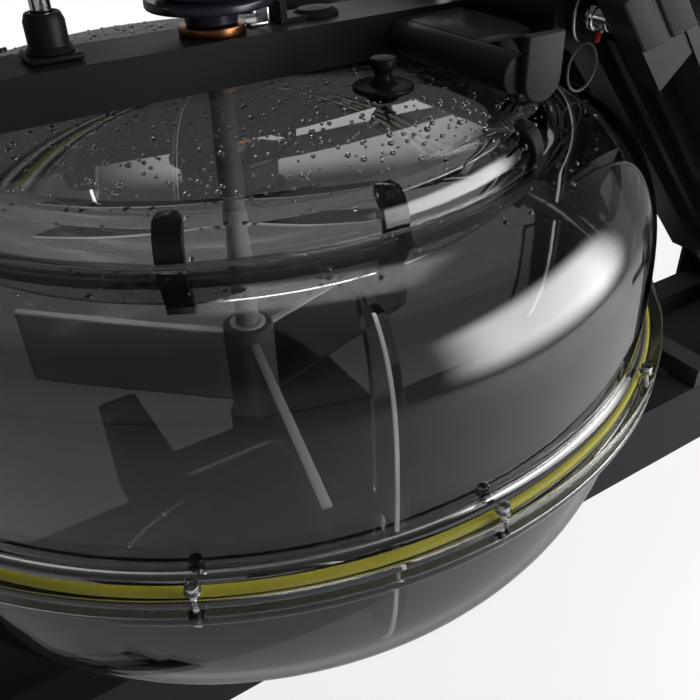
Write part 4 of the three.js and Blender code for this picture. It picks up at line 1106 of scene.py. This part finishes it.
def make_beam_fittings():
    mesh = rim_rounded(nodes["beam_cap"].data.copy(), 0.8, 2, 50)
    add_piece("beam_cap_finished", mesh, "black", stands_for="beam_cap", sharp=60)
    top = BEAM.top + GAP
    bracket = block("bracket", (21, -4, top), (33, 10, top + 1.6), 0.4)
    upright = block("upright", (31.4, -4, top), (33, 10, top + 9), 0.4)
    add_piece("small_bracket", (bracket, upright), "steel")


def make_guide():
    r, lip, wide = GUIDE.radius, GUIDE.lip, GUIDE.side
    axle, end = GUIDE.axle, GUIDE.axle_end
    half = [(0, -end), (axle, -end), (axle, -r), (wide, -r), (wide, 3 - r), (wide - lip, 4.5 - r)]
    profile = half + [(radius, -y) for radius, y in half[::-1]]
    turn_piece("guide_roller_smooth", profile, 64, 0.8, 2, "black", "strap_guide", "guide_roller",
               centre=(STRAP.roller_x, 0, STRAP.height - GUIDE.drop), along="y")


make_frame()
make_rod()
make_beam_fittings()
make_guide()


# Footrests

def tongue_outline():
    radius = TONGUE.width / 2
    lobe = [(TONGUE.bottom + radius - radius * sin(pi * i / 20),
             TONGUE.x + radius * cos(pi * i / 20)) for i in range(21)]
    return [(TONGUE.top, TONGUE.x - radius), (TONGUE.top, TONGUE.x + radius), *lobe]


def arm_meshes():
    """The parts of a footrest arm on the right side, with the finish of each."""
    start, end, radius = BEAM.half_width + GAP, TONGUE.y - GAP, ARM.radius
    tube = turned("tube", oblong(0, radius, start, end), 40, 0.8, 2,
                  centre=(ARM.x, 0, ARM.z), along="y")
    gusset = [(ARM.x, start), (GUSSET.long, start), (GUSSET.short, GUSSET.reach),
              (ARM.x, GUSSET.reach)]
    gusset = rim_rounded(plate("gusset", gusset, GUSSET.low, GUSSET.high), 0.8)
    tongue = rim_rounded(plate("tongue", tongue_outline(), end, TONGUE.y + TONGUE.thick, "y"), 1.4, 3, 50)
    bore, radius, start, end = SLEEVE.bore, SLEEVE.radius, SLEEVE.start, SLEEVE.end
    collar, wide, cap = radius + SLEEVE.collar, start + SLEEVE.collar_width, SLEEVE.cap
    barrel = [(bore, start), (collar, start), (collar, wide), (radius, wide + 1), (radius, end),
              (cap, end + 0.3), (cap, end + 5), (bore, end + 5)]
    barrel = turned("barrel", barrel, 56, 1.2, centre=(SLEEVE.x, 0, SLEEVE.z), along="y")
    return {"arm_tube": (tube, "paint"), "arm_gusset": (gusset, "paint"), "arm_tongue": (tongue, "tongue"),
            "arm_barrel": (barrel, "barrel"), "bracket_cover": (bracket_cover(), "tongue")}


def make_arm(side, sign):
    for label, (mesh, finish) in arm_meshes().items():
        stands_for = side + "_footrest_arm" if label == "arm_tube" else None
        add_piece(f"{side}_{label}", mirror(mesh, sign), finish, stands_for=stands_for)
    where = {"centre": (SLEEVE.x, 0, SLEEVE.z), "along": "y"}
    pin = [(0, 22.7), (7.4, 22.7), (7.4, 25.7), (6, 25.7), (6, 123), (3.4, 123), (3.4, 112), (0, 112)]
    nut = oblong(5.5, 7.2, 105, 114)
    bolt = [mirror(turned("pin", pin, 48, 0.6, 2, **where), sign),
            mirror(turned("nut", nut, 48, 0.8, 2, **where), sign)]
    add_piece(side + "_pivot_bright", bolt, "chrome", stands_for=side + "_pivot_bolt")


def bracket_cover():
    """Painted cover over the outer end of a footplate's bracket, in two halves with a groove between."""
    def spot(along, above):
        return (FOOT.heel_z + FOOT.rise * along + FOOT.run * above,
                FOOT.heel_x - FOOT.run * along + FOOT.rise * above)
    low, top, back = FOOT.cover_low, FOOT.cover_top, FOOT.cover_back
    halves = []
    middle = back + FOOT.half
    for start, end in ((back, middle), (middle + FOOT.groove, back + FOOT.cover_depth)):
        outline = [spot(low - (start - back) * FOOT.slant, start), spot(top, start), spot(top, end),
                   spot(low - (end - back) * FOOT.slant, end)]
        halves.append(rim_rounded(plate("half", outline, FOOT.cover_inner, FOOT.outer + 0.8, "y"), 1.5, 3))
    return joined("bracket_cover", *halves)


def make_foot_strap(side, sign):
    y0, y1 = FOOT.inner + FOOT.strap_inset, FOOT.outer - FOOT.strap_inset
    middle, reach, rise = (y0 + y1) / 2, (y1 - y0) / 2, FOOT.strap_rise
    run = Vector((-FOOT.run, 0, FOOT.rise))
    out = Vector((FOOT.rise, 0, FOOT.run))
    start = Vector((FOOT.heel_x, 0, FOOT.heel_z)) + run * FOOT.strap_at
    sections = []
    for i in range(41):
        across, up = cos(pi * i / 40), sin(pi * i / 40)
        point = start + out * (GAP + (rise - 1.5) * up) + Vector((0, middle + (reach - 1.5) * across, 0))
        normal = (out * up * reach + Vector((0, across * rise, 0))).normalized()
        sections.append(strap_section(point, normal, run, FOOT.strap_width, FOOT.strap_thick))
    mesh = swept("foot_strap", sections)
    origin = placed(FOOT.heel_x, 0, FOOT.heel_z)

    def woven(place):
        point = place - origin
        turn = atan2(point.dot(out) / rise, (point.y - middle * MM) / reach)
        return turn * rise * MM, point.dot(run)

    unwrap(mesh, woven)
    add_piece(side + "_foot_webbing", mirror(mesh, sign), "webbing", stands_for=side + "_foot_strap")


for side, sign in SIDES:
    make_arm(side, sign)
    make_foot_strap(side, sign)
    rounded_node(side + "_footplate", 1.0, "black", angle=50)
    rounded_node(side + "_heel_cup", 1.6, "black", side + "_heel", steps=3)


# Handle

def make_handle():
    centre = (HANDLE.x, 0, HANDLE.z)
    end, radius = HANDLE.bar_end, HANDLE.bar
    bar = turned("bar", oblong(0, radius, -end, end), 48, 1, 2, centre=centre, along="y")
    clevis = block("clevis", (352, -16, 182), (385, 16, 194), 2.5, 3)
    add_piece("handle_bar_finished", (bar, clevis), "bar", "pull_handle", "handle_bar")
    grip, valley, first, last = HANDLE.grip, HANDLE.grip - HANDLE.groove, HANDLE.grip_start, HANDLE.end
    for side, sign in SIDES:
        ribs = []
        for i in range(HANDLE.ribs):
            start = first + 4 + (last - first - 10) * i / HANDLE.ribs
            ribs += [(valley, start), (grip, start + 1), (grip, start + 3.4), (valley, start + 4.4)]
        profile = [(HANDLE.bore, first), (HANDLE.sleeve, first), *ribs, (HANDLE.sleeve, last),
                   (0, last), (0, end + 0.3), (HANDLE.bore, end + 0.3)]
        mesh = mirror(turned("grip", profile, 48, centre=centre, along="y"), sign)
        add_piece(side + "_grip_ribbed", mesh, "grip", "pull_handle", side + "_grip")


# Seat

def make_seat():
    rounded_node("seat_carriage", 1.2, "paint", "seat", angle=50)
    rounded_node("seat_pedestal", 1.6, "black", "seat", steps=3, angle=50)
    y0, y1 = SEAT.rail_y - SEAT.roller_width / 2, SEAT.rail_y + SEAT.roller_width / 2
    boss, radius, axle, end = SEAT.boss, SEAT.roller, SEAT.axle, SEAT.axle_end
    head = end - SEAT.axle_head
    tread = [(4.8, y0 - 2), (boss, y0 - 2), (boss, y0), (radius, y0), (radius, y1), (boss, y1),
             (boss, y1 + 2), (4.8, y1 + 2)]
    rod = [(0, -end), (boss, -end), (boss, -head), (axle, -head), (axle, head), (boss, head),
           (boss, end), (0, end)]
    for name, share in (("front_rollers", -0.5), ("rear_rollers", 0.5)):
        where = {"centre": (SEAT.x + share * SEAT.spread, 0, SEAT.axle_z), "along": "y"}
        wheels = [mirror(turned("tread", tread, 56, 1.6, **where), sign) for sign in (1, -1)]
        meshes = [turned("rod", rod, 32, 0.6, 2, **where), *wheels]
        add_piece(name + "_turned", meshes, "roller", "seat_" + name, name)


def applied(item, kind, **settings):
    """Adds a modifier to the item, and applies it."""
    modifier = item.modifiers.new(kind.lower(), kind)
    for label, value in settings.items():
        setattr(modifier, label, value)
    bpy.ops.object.modifier_apply(modifier=modifier.name)


def make_seat_pad():
    """Seat pad: the solid filled out by cloth under pressure, with its edge seam drawn in."""
    low, high = (Vector(corner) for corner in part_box("seat_pad"))
    middle = (low + high) / 2
    mesh = nodes["seat_pad"].data.copy()
    mesh.transform(Matrix.Translation(middle) @ Matrix.Diagonal((*PAD.scale, 1))
                   @ Matrix.Translation(-middle))
    pad = bpy.data.objects.new("seat_pad_padded", mesh)
    scene.collection.objects.link(pad)
    for other in scene.collection.objects:
        other.select_set(False)
    bpy.context.view_layer.objects.active = pad
    pad.select_set(True)
    applied(pad, "REMESH", mode="VOXEL", voxel_size=PAD.voxel)
    before = [vert.co.copy() for vert in pad.data.vertices]
    blow_up(pad)
    for vert, old in zip(pad.data.vertices, before):
        move = vert.co - old
        if move.length > PAD.cap:
            vert.co = old + move.normalized() * PAD.cap
        press_down(vert, low, high, middle)
    applied(pad, "SUBSURF", levels=1, render_levels=1)
    finished = pad.data
    bpy.data.objects.remove(pad)
    piece = add_piece("seat_pad_padded", finished, "cover", "seat", "seat_pad", sharp=180)


def blow_up(pad):
    """Cloth filled by pressure from inside, without weight."""
    cloth = pad.modifiers.new("cloth", "CLOTH")
    cloth.settings.use_pressure = True
    cloth.settings.uniform_pressure_force = PAD.pressure
    cloth.settings.effector_weights.gravity = 0
    for number in range(1, PAD.frames + 1):
        scene.frame_set(number)
    bpy.ops.object.modifier_apply(modifier="cloth")


def press_down(vert, low, high, middle):
    """Flat underneath, crowned on top, with a hollow where a rower sits and a drawn-in seam."""
    x = (vert.co.x - middle.x) / (high.x - low.x) * 2
    y = (vert.co.y - middle.y) / (high.y - low.y) * 2
    if vert.co.z > middle.z:
        hollow = exp(-((abs(y) - PAD.hollow_y) ** 2) / PAD.hollow_width
                     - (x - PAD.hollow_x) ** 2 / PAD.hollow_length)
        groove = exp(-(y ** 2) / PAD.groove_width) * max(0.0, 1 - abs(x) * 0.9)
        vert.co.z -= PAD.hollow * hollow + PAD.groove * groove
    seam = exp(-((vert.co.z - (low.z + PAD.seam_height)) ** 2) / PAD.seam_width)
    vert.co.x += (middle.x - vert.co.x) * PAD.seam_pull * seam
    vert.co.y += (middle.y - vert.co.y) * PAD.seam_pull * seam
    vert.co = [min(max(place, least), most) for place, least, most in zip(vert.co, low, high)]


# Display

def on_display(mesh):
    """The mesh, made round the tank's axis at the seal, carried to the tilted display."""
    mesh.transform(Matrix.Translation(placed(HEAD.x, 0, HEAD.z))
                   @ Matrix.Rotation(radians(HEAD.tilt), 4, "Y") @ Matrix.Translation(-placed(0, 0, 0)))
    return mesh


def display_piece(name, finish, *meshes, body="display", stands_for=None):
    add_piece(name, on_display(joined(name, *meshes)), finish, body, stands_for)


def rounded_panel(width, depth, radius, x, low, high):
    """Flat sheet across the display with rounded corners."""
    corners = oblong(x - depth / 2, x + depth / 2, -width / 2, width / 2)
    return plate("panel", softened(corners, radius, 4), low, high)


def make_display():
    rounded_node("display_housing", 2.2, "black", "display", steps=4, angle=50)
    top, shift = HEAD.low + HEAD.thick, -HEAD.screen_shift
    width, depth = HEAD.screen_width, HEAD.screen_depth
    glass = rounded_panel(width - 0.6, depth - 0.6, 3, shift, top - 1.7, top)
    display_piece("display_glass", "screen", rim_rounded(glass, 0.4), stands_for="display_screen")
    panel = rounded_panel(width - 14, depth - 12, 1.5, shift, top - 0.1, top + 0.15)
    display_piece("display_panel", "panel", panel)
    bezel = cut_by(rounded_panel(width + 7, depth + 7, 6, shift, top - 0.4, top + 0.9),
                   rounded_panel(width - 1, depth - 1, 3, shift, top - 2, top + 2))
    display_piece("display_bezel", "black", rim_rounded(bezel, 0.4, 2, 50))
    for side, sign in (("left", -1), ("right", 1)):
        low, face, inner, outer = top - 4.2, top + 1.8, sign * HEAD.knob_y, sign * (HEAD.knob_y + 4.9)
        cap = [(0, low), (7, low), (7, face - 1.6), (5.2, face), (2, face - 0.7), (0, face - 0.8)]
        cap = turned("cap", cap, 40, 1.2, centre=(HEAD.button_x, sign * HEAD.button_y, 0))
        display_piece(side + "_button_domed", "rubber", cap, body=f"display_{side}_button",
                      stands_for=side + "_button")
        knob = [(0, inner), (6.5, inner), (6.5, outer - sign * 1.6), (4.5, outer), (0, outer)]
        knob = turned("knob", knob, 60, 0.8, 2, along="y",
                      shape=lambda r, z, a: r + 0.25 * cos(a * 20) if r > 6 else r)
        display_piece(side + "_tilt_knob", "black", knob)
    make_display_back()


def make_display_back():
    low = HEAD.low
    cover = rim_rounded(rounded_panel(64, 30, 4, 30, low - 0.9, low + 0.4), 0.4, 2, 50)
    finger = block("ridge", (42, -8, low - 1.8), (43.5, 8, low + 0.2), 0.5)
    display_piece("battery_cover", "black", cover, finger)
    shape = ((0, 0.4), (3.2, 0.4), (3.2, -1), (1.4, -1.4), (1.4, -0.4), (0, -0.4))
    head = [(r, low + above) for r, above in shape]
    screws = [turned("screw", head, 24, 0.4, 2, centre=(x, y, 0))
              for x in (-HEAD.screw_x, HEAD.screw_x) for y in (-HEAD.screw_y, HEAD.screw_y)]
    display_piece("display_screws", "screw", *screws)


# Transport wheels

def make_wheels():
    half = [(23, 9), (27, 11), (29, 9.5), (30, 6.5), (30, 1), (29, 0.6)]
    tyre = [(r, -y) for r, y in half] + half[::-1]
    boss = WHEEL.hub
    half = [(4.3, 11), (boss, 11), (boss + 1, 7), (20, 6), (20, 9.5), (23.5, 9.5)]
    hub = [(r, -y) for r, y in half] + half[::-1]
    for side, sign in SIDES:
        where = {"centre": (WHEEL.x, sign * WHEEL.y, WHEEL.z), "along": "y"}
        body = side + "_transport_wheel"
        turn_piece(side + "_tyre", tyre, 64, 0.8, 2, "rubber", body, side + "_wheel", **where)
        turn_piece(side + "_hub", hub, 48, 0.8, 2, "wheel_hub", body, **where)
    reach, axle, where = WHEEL.axle_reach, WHEEL.axle, {"centre": (WHEEL.x, 0, WHEEL.z), "along": "y"}
    ends = [turned("head", [(0, sign * reach), (7, sign * reach), (7, sign * (reach + 2.6)),
                            (5.6, sign * (reach + 4)), (0, sign * (reach + 4))], 36,
                   shape=hexagonal(low=6, share=0.94), **where) for sign in (1, -1)]
    bar = turned("bar", oblong(0, axle, -reach, reach), 32, **where)
    add_piece("wheel_axle_turned", [bar, *ends], "axle", stands_for="wheel_axle")


# Small things on the left footrest's pivot bolt, nearest the camera

def looped(name, centre_line, radius):
    """Mesh of a round wire along a closed line of points."""
    count, sides = len(centre_line), 10
    sections = []
    for i, point in enumerate(centre_line):
        direction = (Vector(centre_line[(i + 1) % count]) - Vector(centre_line[i - 1])).normalized()
        across = direction.cross(Vector((0.2, 1, 0.1))).normalized()
        over = direction.cross(across)
        turns = [tau * k / sides for k in range(sides)]
        sections.append([tuple(Vector(point) + (across * cos(turn) + over * sin(turn)) * radius)
                         for turn in turns])
    return swept(name, sections, True)


def ring_of(centre, radius, heading, count=40):
    """Points of an upright circle whose plane is turned by heading, in degrees."""
    x, y, z = centre
    turn = radians(heading)
    return [(x + radius * cos(turn) * cos(tau * i / count),
             y + radius * sin(turn) * cos(tau * i / count),
             z + radius * sin(tau * i / count)) for i in range(count)]


def make_pin_ring():
    """Wire ring round the end of the left pivot bolt, with a red tab, its clip and a cord loop on it."""
    x, z = SLEEVE.x, SLEEVE.z
    out = -SLEEVE.end - 3
    tab = [(z - 16, x + 8), (z - 7, x + 9.5), (z - 7, x + 13), (z - 16, x + 11.5)]
    add_piece("pin_ring", looped("pin_ring", ring_of((x - 1, out, z), 13.2, 22), 0.8), "ring")
    add_piece("red_tab", rim_rounded(plate("tab", tab, out - 3, out - 0.8, "y"), 0.5), "red")
    clip = looped("tab_clip", ring_of((x + 14, out - 2, z - 8), 3.2, 20, 20), 0.6)
    add_piece("tab_clip", clip, "chrome")
    loop = looped("cord_loop", ring_of((x + 1, out - 2, z - 28), 13, 8, 48), 0.75)
    add_piece("cord_loop", loop, "loop")


make_handle()
make_seat()
make_seat_pad()
make_display()
make_wheels()
make_pin_ring()

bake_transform(pull_strap)

scene.view_settings.view_transform = "Standard"
